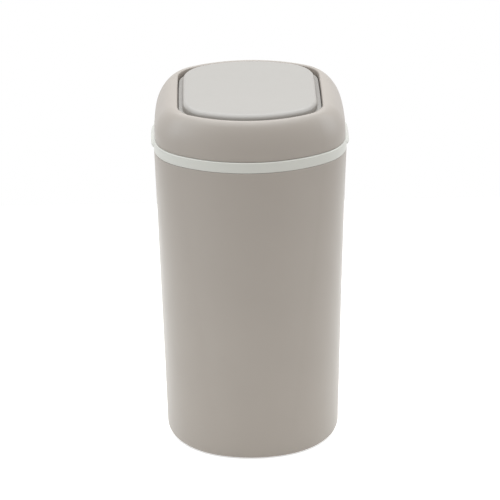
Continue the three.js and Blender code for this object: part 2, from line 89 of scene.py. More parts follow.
@dataclass(frozen=True)
class Surface:
    """A bare mesh as arrays.

    Attributes:
        points: The vertices, one a row.
        faces: Groups of faces, each an array with one face a row.
        wear: How far each vertex lies on an outer edge, from 0 to 1.
    """

    points: np.ndarray
    faces: tuple[np.ndarray, ...]
    wear: np.ndarray

    def __add__(self, other: "Surface") -> "Surface":
        """Both surfaces as one mesh.

        Args:
            other: The surface that is added.

        Returns:
            A surface with this one's points first.
        """
        moved = tuple(group + len(self.points) for group in other.faces)
        wear = np.concatenate([self.wear, other.wear])
        return Surface(np.vstack([self.points, other.points]), self.faces + moved, wear)

    def shifted(self, x: float, y: float, z: float) -> "Surface":
        """The surface moved by three distances."""
        return replace(self, points=self.points + np.array([x, y, z]))

    def turned_to_x(self) -> "Surface":
        """The surface turned a quarter about Y, so that its Z axis lies along X."""
        x, y, z = self.points.T
        return replace(self, points=np.stack([z, y, -x], axis=1))

    def mirrored(self) -> "Surface":
        """The surface's mirror image on the other side of x = 0, still facing outwards."""
        faces = tuple(group[:, ::-1] for group in self.faces)
        return replace(self, points=self.points * np.array([-1.0, 1.0, 1.0]), faces=faces)

    def on_side(self, side: int) -> "Surface":
        """The surface as it is for +1, or its mirror image for -1."""
        return self if side > 0 else self.mirrored()


def skin(grid: np.ndarray, wear: np.ndarray, ends: Ends) -> Surface:
    """Joins rows of points into a closed surface.

    Point (i, j) makes a quad with (i, j + 1), (i + 1, j + 1) and (i + 1, j). Every row
    is a closed loop that runs anticlockwise about the direction in which rows follow.

    Args:
        grid: Points by row and by place in the row.
        wear: One value for each row.
        ends: What happens at the first and last row.

    Returns:
        The closed surface.
    """
    apart = np.linalg.norm(grid - np.roll(grid, 1, axis=0), axis=-1).max(axis=1) > SAME_PLACE
    grid = grid[apart]
    rows, count = grid.shape[:2]
    index = np.arange(rows * count).reshape(rows, count)
    joined = ends is Ends.JOINED
    low = index if joined else index[:-1]
    high = np.roll(index, -1, axis=0) if joined else index[1:]
    quads = np.stack([low, np.roll(low, -1, axis=1), np.roll(high, -1, axis=1), high], axis=-1)
    faces = (quads.reshape(-1, 4),)
    points = grid.reshape(-1, 3)
    weights = np.repeat(wear[apart], count)
    if ends is Ends.FLAT:
        faces += (index[:1, ::-1], index[-1:])
    if ends is Ends.FAN:
        points = np.vstack([points, grid[0].mean(axis=0), grid[-1].mean(axis=0)])
        weights = np.append(weights, [0.0, 0.0])
        first = np.full(count, rows * count)
        faces += (
            np.stack([first, np.roll(index[0], -1), index[0]], axis=-1),
            np.stack([first + 1, index[-1], np.roll(index[-1], -1)], axis=-1),
        )
    return Surface(points, faces, weights)


def arc_of_corner(back: np.ndarray, ahead: np.ndarray, radius: float, steps: int) -> np.ndarray:
    """The arc that touches both sides of a corner at the origin.

    With h half the angle between the sides, the arc starts radius / tan(h) along one
    side, its centre is radius / sin(h) along their bisector, and its points are the
    spherical mixture of the two touching radii.

    Args:
        back: Unit vector along the side that comes in, away from the corner.
        ahead: Unit vector along the side that goes out.
        radius: Radius of the arc.
        steps: Number of straight stretches it is drawn with.

    Returns:
        The arc's points, one a row.
    """
    half = math.acos(float(np.clip(back @ ahead, -1.0, 1.0))) / 2
    bisector = (back + ahead) / np.linalg.norm(back + ahead)
    centre = bisector * radius / math.sin(half)
    start = back * radius / math.tan(half) - centre
    end = ahead * radius / math.tan(half) - centre
    turn = math.pi - 2 * half
    share = np.linspace(0.0, 1.0, steps + 1)[:, None]
    mixed = np.sin((1 - share) * turn) * start + np.sin(share * turn) * end
    return centre + mixed / math.sin(turn)


def rounded(
    corners: Sequence[Corner], closed: bool, longest: float = 0.012, steps: int = 5
) -> tuple[np.ndarray, np.ndarray]:
    """Draws a profile with rounded corners.

    Each corner is replaced by the arc that touches its two sides, and a longer straight
    stretch is cut into equal ones. A vertex on an outward arc has a wear of sin(pi * s),
    with s its share of the arc, and every other vertex has none.

    Args:
        corners: (inset, height, radius) of each corner, up the outside first.
        closed: Whether the last corner joins the first.
        longest: The longest straight stretch that is left whole.
        steps: Stretches of each arc.

    Returns:
        The points, one a row, and the wear of each.
    """
    places = np.array([corner[:2] for corner in corners], float)
    drawn: list[np.ndarray] = []
    wears: list[np.ndarray] = []
    for i, (place, (_, _, radius)) in enumerate(zip(places, corners)):
        back = places[i - 1] - place
        ahead = places[(i + 1) % len(places)] - place
        if radius == 0:
            drawn.append(place[None])
            wears.append(np.zeros(1))
            continue
        back = back / np.linalg.norm(back)
        ahead = ahead / np.linalg.norm(ahead)
        drawn.append(place + arc_of_corner(back, ahead, radius, steps))
        outward = back[0] * ahead[1] - back[1] * ahead[0] > 0
        wears.append(np.sin(np.linspace(0, math.pi, steps + 1)) * float(outward))
    points, wear = np.vstack(drawn), np.concatenate(wears)
    following, next_wear = np.roll(points, -1, axis=0), np.roll(wear, -1)
    counts = np.ceil(np.linalg.norm(following - points, axis=1) / longest)
    counts = np.maximum(counts, 1).astype(int)
    if not closed:
        counts[-1] = 1
    start = np.repeat(np.cumsum(counts) - counts, counts)
    share = (np.arange(counts.sum()) - start) / np.repeat(counts, counts)
    finer = np.repeat(points, counts, axis=0)
    finer = finer + (np.repeat(following, counts, axis=0) - finer) * share[:, None]
    finer_wear = np.repeat(wear, counts)
    finer_wear = finer_wear + (np.repeat(next_wear, counts) - finer_wear) * share
    return finer, finer_wear


def turned(corners: Sequence[Corner], ends: Ends = Ends.FAN, sides: int = 64) -> Surface:
    """Turns a profile of (radius, height, rounding) round the Z axis.

    Point (i, j) is (r cos a, r sin a, z), with r and z from the profile's point i and
    a from 0 to a whole turn. A solid body's profile starts and ends at the axis, level
    with its first and last corner.

    Args:
        corners: The profile, up the outside first.
        ends: FAN for a solid body, JOINED for a ring.
        sides: Points round the axis.

    Returns:
        The turned surface.
    """
    if ends is Ends.FAN:
        corners = [(POLE, corners[0][1], 0.0), *corners, (POLE, corners[-1][1], 0.0)]
    flipped = [(-radius, height, rounding) for radius, height, rounding in corners]
    profile, wear = rounded(flipped, ends is Ends.JOINED, TURNED_ROW)
    angle = np.linspace(0, 2 * math.pi, sides, endpoint=False)
    circle = np.stack([np.cos(angle), np.sin(angle)], axis=1)
    flat = -profile[:, :1, None] * circle[None]
    heights = np.broadcast_to(profile[:, 1:2, None], flat.shape[:2] + (1,))
    return skin(np.concatenate([flat, heights], axis=2), wear, ends)


def drawn_in(outline: np.ndarray, inset: float) -> np.ndarray:
    """A closed outline moved inwards along the mean of its neighbouring edges' normals.

    Args:
        outline: The outline's points, anticlockwise.
        inset: How far it moves.

    Returns:
        The moved points.
    """
    edge = np.roll(outline, -1, axis=0) - outline
    normal = np.stack([edge[:, 1], -edge[:, 0]], axis=1)
    normal = normal / np.linalg.norm(normal, axis=1, keepdims=True)
    mean = normal + np.roll(normal, 1, axis=0)
    mean = mean / np.linalg.norm(mean, axis=1, keepdims=True)
    return outline - mean * inset


def bar(corners: Sequence[Corner], x0: float, x1: float, edge: float, steps: int = 4) -> Surface:
    """Carries an outline of (y, z, rounding) corners along X, with rounded end edges.

    At each end the outline is drawn in by edge * (1 - sin t) at a distance of
    edge * (1 - cos t), with t from 0 to a quarter turn.

    Args:
        corners: The outline, anticlockwise seen from +X.
        x0: Where the bar starts.
        x1: Where it ends.
        edge: Radius of its end edges.
        steps: Rows of each end edge.

    Returns:
        The closed bar.
    """
    outline, _ = rounded(corners, closed=True, longest=CARRIED_ROW)
    quarter = np.linspace(0, math.pi / 2, steps + 1)
    inset = edge * (1 - np.sin(quarter))
    depth = edge * (1 - np.cos(quarter))
    insets = np.concatenate([inset, inset[::-1]])
    xs = np.concatenate([x0 + depth, (x1 - depth)[::-1]])
    rows = np.stack([drawn_in(outline, amount) for amount in insets])
    along = np.broadcast_to(xs[:, None, None], rows.shape[:2] + (1,))
    wear = np.sin(2 * quarter)
    return skin(np.concatenate([along, rows], axis=2), np.append(wear, wear[::-1]), Ends.FLAT)


def block(low: Vector, high: Vector, edge: float) -> Surface:
    """A block between two corners, with all of its edges rounded."""
    sides = ((high.y, low.z), (high.y, high.z), (low.y, high.z), (low.y, low.z))
    return bar([(y, z, edge) for y, z in sides], low.x, high.x, edge)


# Plan outlines


@dataclass(frozen=True)
class Plan:
    """A rounded-square outline of tangent side, corner and front arcs.

    Attributes:
        half: Half of its width.
        depth: Half of its depth.
        side: Radius of the side arcs.
        front: Radius of the front and rear arcs.
        corner: Radius of the corner arcs.
        side_steps: Points on half a side arc.
        corner_steps: Points on a corner arc.
        front_steps: Points on half a front arc.
    """

    half: float
    depth: float
    side: float
    front: float
    corner: float
    side_steps: int = 10
    corner_steps: int = 36
    front_steps: int = 18

    def rim(self) -> tuple[np.ndarray, np.ndarray]:
        """The outline and its outward normals.

        The corner's centre is where circles of radius side - corner about the side's
        centre and front - corner about the front's centre cross, so that neighbouring
        arcs touch. A point is centre + radius * normal on its own arc.

        Returns:
            The points of the closed loop, anticlockwise from +X, and their normals.
        """
        side_x, front_y = self.half - self.side, self.depth - self.front
        to_side, to_front = self.side - self.corner, self.front - self.corner
        span = math.hypot(side_x, front_y)
        along = (to_side**2 - to_front**2 + span**2) / (2 * span)
        across = math.sqrt(to_side**2 - along**2)
        ux, uy = -side_x / span, front_y / span
        corner_x = side_x + ux * along - uy * across
        corner_y = uy * along + ux * across
        first = math.atan2(corner_y, corner_x - side_x)
        second = math.atan2(corner_y - front_y, corner_x)
        arcs = [
            ((side_x, 0.0), self.side, 0.0, first, self.side_steps),
            ((corner_x, corner_y), self.corner, first, second, self.corner_steps),
            ((0.0, front_y), self.front, second, math.pi / 2, self.front_steps),
        ]
        normals = [np.array([[0.0, 1.0]])]
        points = [np.array([[0.0, self.depth]])]
        for centre, radius, start, end, steps in reversed(arcs):
            angle = np.linspace(start, end, steps, endpoint=False)
            normal = np.stack([np.cos(angle), np.sin(angle)], axis=1)
            normals.insert(0, normal)
            points.insert(0, np.array(centre) + radius * normal)
        return self.whole(np.vstack(points)), self.whole(np.vstack(normals))

    @staticmethod
    def whole(quarter: np.ndarray) -> np.ndarray:
        """A quarter loop and its three mirror images as one closed loop."""
        left, right = quarter[:-1][::-1] * np.array([-1.0, 1.0]), quarter[1:-1][::-1]
        return np.vstack([quarter, left, -quarter[1:], right * np.array([1.0, -1.0])])

    def corner_index(self) -> int:
        """The place in the loop of the first corner arc's middle."""
        return self.side_steps + self.corner_steps // 2

    def sweep(self, profile: np.ndarray) -> np.ndarray:
        """Carries a profile of (inset, z) points round the outline.

        Point (i, j) is outline[j] - inset[i] * normal[j], at height z[i].

        Args:
            profile: The profile's points.

        Returns:
            The grid of points.
        """
        edge, normal = self.rim()
        flat = edge[None] - profile[:, :1, None] * normal[None]
        heights = np.broadcast_to(profile[:, 1:2, None], flat.shape[:2] + (1,))
        return np.concatenate([flat, heights], axis=2)

    def ring(self, corners: Sequence[Corner]) -> Surface:
        """A closed ring with a rounded profile."""
        profile, wear = rounded(corners, closed=True)
        return skin(self.sweep(profile), wear, Ends.JOINED)

    def strip(self, outer: float, inner: float, low: float, high: float, edge: float) -> Surface:
        """A closed ring of rectangular section with four rounded edges."""
        sides = ((outer, low), (outer, high), (inner, high), (inner, low))
        return self.ring([(inset, z, edge) for inset, z in sides])

    def dish(self, corners: Sequence[Corner], fan: float) -> Surface:
        """A closed body whose profile runs level to its two middles.

        Args:
            corners: The profile, without its level stretches.
            fan: The inset at which the rows end and a fan of triangles starts.

        Returns:
            The closed body.
        """
        ends = [(fan, corners[i][1], 0.0) for i in (0, -1)]
        profile, wear = rounded([ends[0], *corners, ends[1]], closed=False)
        return skin(self.sweep(profile), wear, Ends.FAN)


@dataclass(frozen=True)
class BinPlans:
    """The outlines that the pieces share.

    Attributes:
        tub_taper: How much narrower the footprint is than the mouth, at each side.
        shoulder_width: From the mouth's side to the opening's side.
        shoulder_depth: From the mouth's front to the opening's front.
        running_gap: Gap beside the flap's ledge.
        end_gap: Gap in front of the flap and behind it.
        side_step: How far the flap's panel stands back from its ledge at the sides.
        end_step: How far it stands back at its front and rear.
        panel_corner: Radius of the panel's corners.
    """

    tub_taper: float = 0.0092
    shoulder_width: float = 0.0324
    shoulder_depth: float = 0.0164
    running_gap: float = 0.0009
    end_gap: float = 0.0028
    side_step: float = 0.0054
    end_step: float = 0.0044
    panel_corner: float = 0.048

    @property
    def mouth(self) -> Plan:
        """The tub's outline at its top, as wide as the frame's tub."""
        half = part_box("tub")[1].x
        return Plan(half, half, side=0.770, front=0.1635, corner=0.072)

    @property
    def footprint(self) -> Plan:
        """The tub's outline at the floor, nearly round."""
        half = self.mouth.half - self.tub_taper
        return Plan(half, half, side=0.140, front=0.140, corner=0.102)

    @property
    def opening(self) -> Plan:
        """The cap's barrel-shaped opening."""
        mouth = self.mouth
        half, depth = mouth.half - self.shoulder_width, mouth.depth - self.shoulder_depth
        return Plan(half, depth, side=4.0, front=0.140, corner=0.040)

    @property
    def ledge(self) -> Plan:
        """The flap's ledge, a gap inside the opening at its sides and ends.

        Returns:
            Its outline.
        """
        opening = self.opening
        return replace(
            opening,
            half=opening.half - self.running_gap,
            depth=opening.depth - self.end_gap,
            front=opening.front - self.end_gap,
            corner=opening.corner - self.running_gap,
        )

    @property
    def panel(self) -> Plan:
        """The flap's top panel, a step inside its ledge."""
        ledge = self.ledge
        half, depth = ledge.half - self.side_step, ledge.depth - self.end_step
        return replace(ledge, half=half, depth=depth, corner=self.panel_corner)


PLANS = BinPlans()


# Shader maths


class Signal:
    """One output socket of a material's nodes, with arithmetic that adds Math nodes."""

    def __init__(self, bench: "NodeBench", socket: bpy.types.NodeSocket) -> None:
        """Keeps the socket and the bench that adds nodes to its tree."""
        self.bench = bench
        self.socket = socket

    def __add__(self, other: "Signal | float") -> "Signal":
        """The sum of two values."""
        return self.bench.maths("ADD", self, other)

    def __sub__(self, other: "Signal | float") -> "Signal":
        """This value less another."""
        return self.bench.maths("SUBTRACT", self, other)

    def __mul__(self, other: "Signal | float") -> "Signal":
        """The product of two values."""
        return self.bench.maths("MULTIPLY", self, other)

    def __rsub__(self, other: float) -> "Signal":
        """A number less this value."""
        return self.bench.maths("SUBTRACT", other, self)

    __radd__ = __add__
    __rmul__ = __mul__

    def at_most(self, other: "Signal | float") -> "Signal":
        """The smaller of two values."""
        return self.bench.maths("MINIMUM", self, other)

    def at_least(self, other: "Signal | float") -> "Signal":
        """The larger of two values."""
        return self.bench.maths("MAXIMUM", self, other)


class NodeBench:
    """Adds nodes to one tree."""

    def __init__(self, tree: bpy.types.NodeTree) -> None:
        """Empties the tree."""
        self.tree = tree
        tree.nodes.clear()

    def add(
        self,
        kind: str,
        settings: dict[str, object] | None = None,
        sockets: dict[str | int, object] | None = None,
        out: str | int = 0,
    ) -> Signal:
        """Adds one node.

        Args:
            kind: Blender's name for the node's type.
            settings: The node's own settings; "stops" gives a ramp's places and colours.
            sockets: Values or signals for its inputs.
            out: The output that is handed back.

        Returns:
            That output as a signal.
        """
        node = self.tree.nodes.new(kind)
        for name, value in (settings or {}).items():
            if name == "stops":
                self.set_stops(node.color_ramp, value)
            else:
                setattr(node, name, value)
        for name, value in (sockets or {}).items():
            if isinstance(value, Signal):
                self.tree.links.new(value.socket, node.inputs[name])
            else:
                node.inputs[name].default_value = value
        return Signal(self, node.outputs[out]) if len(node.outputs) else Signal(self, None)

    @staticmethod
    def set_stops(ramp: bpy.types.ColorRamp, stops: Sequence[tuple[float, float]]) -> None:
        """Gives a ramp grey stops.

        Args:
            ramp: A new ramp.
            stops: The (place, brightness) of each stop.
        """
        while len(ramp.elements) < len(stops):
            ramp.elements.new(1.0)
        for element, (place, grey) in zip(ramp.elements, stops):
            element.position = place
            element.color = (grey, grey, grey, 1.0)

    def maths(self, operation: str, first: "Signal | float", second: "Signal | float") -> Signal:
        """A Math node on two values."""
        return self.add("ShaderNodeMath", {"operation": operation}, {0: first, 1: second})

    def place(self) -> Signal:
        """The place on the piece, in metres."""
        return self.add("ShaderNodeTexCoord", out="Object")

    def wear(self) -> Signal:
        """How far the surface is on an outer edge, from 0 to 1."""
        return self.add("ShaderNodeAttribute", {"attribute_name": "wear"}, out="Fac")

    def noise(self, place: Signal, size: float, detail: float = 2.0, rough: float = 0.5) -> Signal:
        """Soft noise from 0 to 1 whose patches are about one size across."""
        sockets = {"Vector": place, "Scale": 1 / size, "Detail": detail, "Roughness": rough}
        return self.add("ShaderNodeTexNoise", sockets=sockets)

    def stretched(self, place: Signal, scale: tuple[float, float, float]) -> Signal:
        """Coordinates scaled along their three axes."""
        return self.add("ShaderNodeMapping", sockets={"Vector": place, "Scale": scale})

    def colour_between(
        self, share: Signal, first: Sequence[float], second: Sequence[float]
    ) -> Signal:
        """A colour mixed from two by a share from 0 to 1."""
        settings = {"data_type": "RGBA", "clamp_factor": True}
        return self.add("ShaderNodeMix", settings, {0: share, 6: first, 7: second}, out=2)

    def bump(self, height: Signal, depth: float, normal: Signal | None = None) -> Signal:
        """A surface normal from a height map.

        Args:
            height: The height, from 0 to 1.
            depth: The depth in metres that it stands for.
            normal: The normal that it is added to, if any.

        Returns:
            The bumped normal.
        """
        sockets: dict[str | int, object] = {"Height": height, "Distance": depth, "Strength": 1.0}
        if normal is not None:
            sockets["Normal"] = normal
        return self.add("ShaderNodeBump", sockets=sockets)


def linear(colour: str, shade: float = 1.0) -> tuple[float, float, float, float]:
    """A written sRGB colour in linear light.

    A value up to 0.04045 is divided by 12.92, and a larger one is
    ((value + 0.055) / 1.055)^2.4.

    Args:
        colour: Six hexadecimal digits, such as "a0968b".
        shade: What the light is multiplied by, to make it lighter or darker.

    Returns:
        Red, green, blue and an alpha of 1.
    """
    parts = np.array([int(colour[i : i + 2], 16) / 255 for i in (0, 2, 4)])
    light = np.where(parts <= 0.04045, parts / 12.92, ((parts + 0.055) / 1.055) ** 2.4)
    red, green, blue = np.clip(light * shade, 0, 1)
    return float(red), float(green), float(blue), 1.0


# Finishes


@dataclass(frozen=True)
class MouldedPlastic:
    """Coloured plastic from a spark-eroded mould.

    Attributes:
        colour: Its written colour.
        roughness: Its mean roughness.
        drift: How far the pigment drifts from light to dark, as a share.
        cloud: Width of the pigment's clouds.
        speck: Width of a speck of pigment, in widths of the grain.
        tones: How much clouds, specks and worn edges move the pigment's tone.
        smear: Width of the smears that handling leaves.
        upright: How the smears' pattern is squeezed along each axis.
        uneven: How much smears and grain move the roughness.
        grain: Width of the mould's grain.
        grain_depth: Depth of the grain.
        ripple: Width of the slow ripple that shrinkage leaves.
        ripple_depth: Depth of the ripple.
        polish: How much smoother the handled outer edges are.
        ior: Its index of refraction.
        satin: Weight of the satin sheen that shows at a grazing look.
        satin_roughness: Roughness of that sheen.
    """

    colour: str
    roughness: float
    drift: float = 0.035
    cloud: float = 0.09
    speck: float = 1.7
    tones: tuple[float, float, float] = (1.1, 0.5, 0.25)
    smear: float = 0.03
    upright: tuple[float, float, float] = (1.0, 1.0, 0.35)
    uneven: tuple[float, float] = (0.14, 0.1)
    grain: float = 0.0005
    grain_depth: float = 0.00001
    ripple: float = 0.028
    ripple_depth: float = 0.00003
    polish: float = 0.08
    ior: float = 1.47
    satin: float = 0.28
    satin_roughness: float = 0.3

    def dress(self, bench: NodeBench) -> dict[str | int, object]:
        """Adds the nodes of drifting pigment, grain, slow ripple and polished edges.

        The pigment's tone is the middle one, moved by clouds, by specks and at worn edges.
        The roughness is the mean one, moved by smears and grain and less at worn edges.

        Args:
            bench: The bench of the material's nodes.

        Returns:
            What the shader's sockets hold.
        """
        place, wear = bench.place(), bench.wear()
        cloud = bench.noise(place, self.cloud, detail=3.0)
        smear_place = bench.stretched(place, self.upright)
        smear = bench.noise(smear_place, self.smear, detail=4.0, rough=0.6)
        speck = bench.noise(place, self.grain * self.speck, detail=1.0)
        by_cloud, by_speck, by_wear = self.tones
        tone = 0.5 + (cloud - 0.5) * by_cloud + (speck - 0.5) * by_speck + wear * by_wear
        by_smear, by_grain = self.uneven
        dark, pale = linear(self.colour, 1 - self.drift), linear(self.colour, 1 + self.drift)
        grain = bench.noise(place, self.grain, detail=2.0, rough=0.65)
        ripple = bench.noise(place, self.ripple, detail=1.0)
        slow = bench.bump(ripple, self.ripple_depth)
        return {
            "Base Color": bench.colour_between(tone, dark, pale),
            "Roughness": (
                self.roughness
                + (smear - 0.5) * by_smear
                + (grain - 0.5) * by_grain
                - wear * self.polish
            ),
            "Normal": bench.bump(grain, self.grain_depth, slow),
            "IOR": self.ior,
            "Coat Weight": self.satin,
            "Coat Roughness": self.satin_roughness,
        }


@dataclass(frozen=True)
class MouldedRubber:
    """Soft rubber with a pebbled skin and a little bloom.

    Attributes:
        colour: Its written colour.
        bloom: The colour of the pale bloom.
        roughness: Its roughness where it is clean.
        patch: Width of the bloom's patches.
        dust: The (patch, dust) stops between clean rubber and the dustiest.
        shares: How much dust, hollows and worn edges show the bloom.
        uneven: How much dust and patches move the roughness.
        pebble: Width of a pebble.
        pebble_depth: Depth between pebbles.
    """

    colour: str
    bloom: str
    roughness: float = 0.72
    patch: float = 0.012
    dust: tuple[tuple[float, float], ...] = ((0.48, 0.0), (0.75, 0.5))
    shares: tuple[float, float, float] = (0.6, 0.12, 0.1)
    uneven: tuple[float, float] = (0.2, 0.1)
    pebble: float = 0.0007
    pebble_depth: float = 0.00004

    def dress(self, bench: NodeBench) -> dict[str | int, object]:
        """Adds the nodes of a pebbled skin with a patchy bloom.

        Args:
            bench: The bench of the material's nodes.

        Returns:
            What the shader's sockets hold.
        """
        place, wear = bench.place(), bench.wear()
        cells = bench.add(
            "ShaderNodeTexVoronoi",
            {"feature": "SMOOTH_F1"},
            {"Vector": place, "Scale": 1 / self.pebble, "Smoothness": 0.6},
        )
        patch = bench.noise(place, self.patch, detail=5.0, rough=0.65)
        dust = bench.add("ShaderNodeValToRGB", {"stops": self.dust}, {0: patch})
        by_dust, by_hollow, by_wear = self.shares
        share = (dust * by_dust + cells * by_hollow + wear * by_wear).at_most(1.0)
        dulled, mottled = self.uneven
        return {
            "Base Color": bench.colour_between(share, linear(self.colour), linear(self.bloom)),
            "Roughness": (self.roughness + dust * dulled + (patch - 0.5) * mottled).at_most(1.0),
            "Normal": bench.bump(1 - cells, self.pebble_depth),
        }


@dataclass(frozen=True)
class PlatedSteel:
    """Drawn steel with a thin zinc plating.

    Attributes:
        colour: Its written colour.
        warm: The tint of the plating's yellower patches.
        roughness: Its mean roughness.
        stroke: Width of the drawing lines.
        stroke_depth: Depth of those lines.
        drawn: How the lines' pattern is squeezed along each axis.
        mottle: Width of the plating's patches.
        uneven: How much lines and patches move the roughness.
        polish: How much smoother its edges are.
    """

    colour: str
    warm: str
    roughness: float = 0.3
    stroke: float = 0.0004
    stroke_depth: float = 0.000006
    drawn: tuple[float, float, float] = (0.04, 1.0, 1.0)
    mottle: float = 0.006
    uneven: tuple[float, float] = (0.2, 0.12)
    polish: float = 0.1

    def dress(self, bench: NodeBench) -> dict[str | int, object]:
        """Adds the nodes of drawing lines along X, mottled plating and bright edges.

        Args:
            bench: The bench of the material's nodes.

        Returns:
            What the shader's sockets hold.
        """
        place, wear = bench.place(), bench.wear()
        lines = bench.noise(bench.stretched(place, self.drawn), self.stroke, detail=3.0)
        mottle = bench.noise(place, self.mottle, detail=4.0, rough=0.7)
        by_line, by_patch = self.uneven
        return {
            "Base Color": bench.colour_between(mottle, linear(self.colour), linear(self.warm)),
            "Metallic": 1.0,
            "Roughness": (
                self.roughness
                + (lines - 0.5) * by_line
                + (mottle - 0.5) * by_patch
                - wear * self.polish
            ),
            "Normal": bench.bump(lines, self.stroke_depth),
        }


class Finish(Enum):
    """The record's material slots and what each is made of."""

    TAUPE_SHELL = MouldedPlastic("a0968c", 0.44)
    LIGHT_RING = MouldedPlastic("c8c5bc", 0.42, drift=0.02)
    FLAP_PANEL = MouldedPlastic("9e9891", 0.46, drift=0.025)
    INNER_FRAME = MouldedPlastic("8d857c", 0.52, grain=0.0008)
    RUBBER = MouldedRubber("857f78", "a19c95")
    BUSH = MouldedPlastic("e3dfd8", 0.34, drift=0.015, grain=0.0009)
    STEEL = PlatedSteel("b9b9b6", "c6bfae")

    @property
    def slot(self) -> str:
        """The record's name for the slot."""
        return self.name.lower()

    def material(self) -> bpy.types.Material:
        """The finish as a material, which is made once.

        Returns:
            The material.
        """
        name = f"{self.slot}_finish"
        known = bpy.data.materials.get(name)
        if known is not None:
            return known
        made = bpy.data.materials.new(name)
        made.use_nodes = True
        bench = NodeBench(made.node_tree)
        shader = bench.add("ShaderNodeBsdfPrincipled", sockets=self.value.dress(bench))
        bench.add("ShaderNodeOutputMaterial", sockets={"Surface": shader})
        return made


# Sub-assemblies


def joint_named(name: str) -> dict[str, object]:
    """One joint of the frame."""
    return next(joint for joint in frame["joints"] if joint["name"] == name)


class Assembly:
    """Pieces that ride on one body of the frame."""

    body: str

    def place(self, node: str, surface: Surface, finish: Finish) -> None:
        """Makes the finer piece that stands for one node.

        Args:
            node: The frame's node.
            surface: The piece's surface, in place.
            finish: What it is made of.
        """
        name = f"fine_{node}"
        mesh = bpy.data.meshes.new(name)
        faces = [face for group in surface.faces for face in group.tolist()]
        mesh.from_pydata(surface.points, [], faces)
        mesh.polygons.foreach_set("use_smooth", np.ones(len(faces), bool))
        mesh.attributes.new("wear", "FLOAT", "POINT").data.foreach_set("value", surface.wear)
        mesh.materials.append(finish.material())
        mesh.update()
        piece = bpy.data.objects.new(name, mesh)
        bpy.context.scene.collection.objects.link(piece)
        piece.modifiers.new("flat faces stay flat", "WEIGHTED_NORMAL").keep_sharp = True
        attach(piece, self.body)
        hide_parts(node)
        own = np.stack([surface.points.min(axis=0), surface.points.max(axis=0)])
        off = float(np.abs(own - np.array(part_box(node))).max()) / MM
        log.info("%-26s %6d faces, %.2f mm from its node's box", name, len(faces), off)


@dataclass(frozen=True)
class Screw:
    """A pan-head screw for plastic, driven upwards.

    Attributes:
        shank: Radius of its shank.
        head: Radius of its head.
        head_height: Height of its head.
        recess: Half length of the cross in its head.
        recess_depth: Depth of that cross.
        pitch: Distance between its threads.
        edge_round: Radius of the edge under its head.
        root: Radius between the threads, as a share of the shank's.
        tip: Length of its point in radii of the shank.
        dome: Radius and height of the head's dome at each step, as shares of the head's.
        face: How much of the head's height counts as its face, as a share.
        sides: Points round it.
    """

    shank: float = 0.0015
    head: float = 0.0029
    head_height: float = 0.002
    recess: float = 0.0017
    recess_depth: float = 0.0011
    pitch: float = 0.0011
    edge_round: float = 0.0002
    root: float = 0.78
    tip: float = 1.6
    dome: tuple[tuple[float, float], ...] = ((0.55, 0.0), (0.84, 0.12), (1.0, 0.5))
    face: float = 0.1
    sides: int = 32

    def surface(self, low: Vector, high: Vector) -> Surface:
        """The screw in its place.

        It is turned from the profile of a domed head, a shank with a ridge for each turn
        of its thread, and a point.

        Args:
            low: Lowest corner of its node.
            high: Highest corner of its node.

        Returns:
            The screw's surface.
        """
        under_head = low.z + self.head_height
        point = high.z - self.tip * self.shank
        core = self.shank * self.root
        threads = [
            corner
            for z in np.arange(under_head + self.pitch, point, self.pitch)
            for corner in ((core, z, 0.0), (self.shank, z + self.pitch / 2, 0.0))
        ]
        body = turned(
            [
                *((self.head * r, low.z + self.head_height * h, 0.0) for r, h in self.dome),
                (self.head, under_head, self.edge_round),
                (core, under_head, 0),
                *threads,
                (core, point, 0),
                (POLE, high.z, 0),
            ],
            sides=self.sides,
        )
        middle = (low + high) / 2
        sunk = replace(body, points=self.with_cross(body.points, low.z))
        return sunk.shifted(middle.x, middle.y, 0)

    def with_cross(self, points: np.ndarray, face: float) -> np.ndarray:
        """Sinks the cross into the head's face.

        A point is in the cross where the larger of |x| and |y| is under the cross's half
        length and the smaller is under a third of it. It is sunk by the cross's depth in
        the middle, and by half of that at the ends of its arms.

        Args:
            points: The screw's points.
            face: Height of the head's face.

        Returns:
            The points with the cross.
        """
        x, y, z = np.abs(points[:, 0]), np.abs(points[:, 1]), points[:, 2]
        on_face = z < face + self.head_height * self.face
        in_cross = (np.minimum(x, y) < self.recess / 3) & (np.maximum(x, y) < self.recess)
        depth = self.recess_depth * (1 - np.maximum(x, y) / self.recess / 2)
        sunk = points.copy()
        sunk[:, 2] = np.where(on_face & in_cross, z + depth, z)
        return sunk


def place_screws(owner: Assembly, prefix: str, count: int, screw: Screw) -> None:
    """Places a run of numbered screws where the frame has them.

    Args:
        owner: The sub-assembly that they hold together.
        prefix: Their nodes' name without the number.
        count: How many there are.
        screw: What each is like.
    """
    for number in range(1, count + 1):
        node = f"{prefix}_{number}"
        owner.place(node, screw.surface(*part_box(node)), Finish.STEEL)


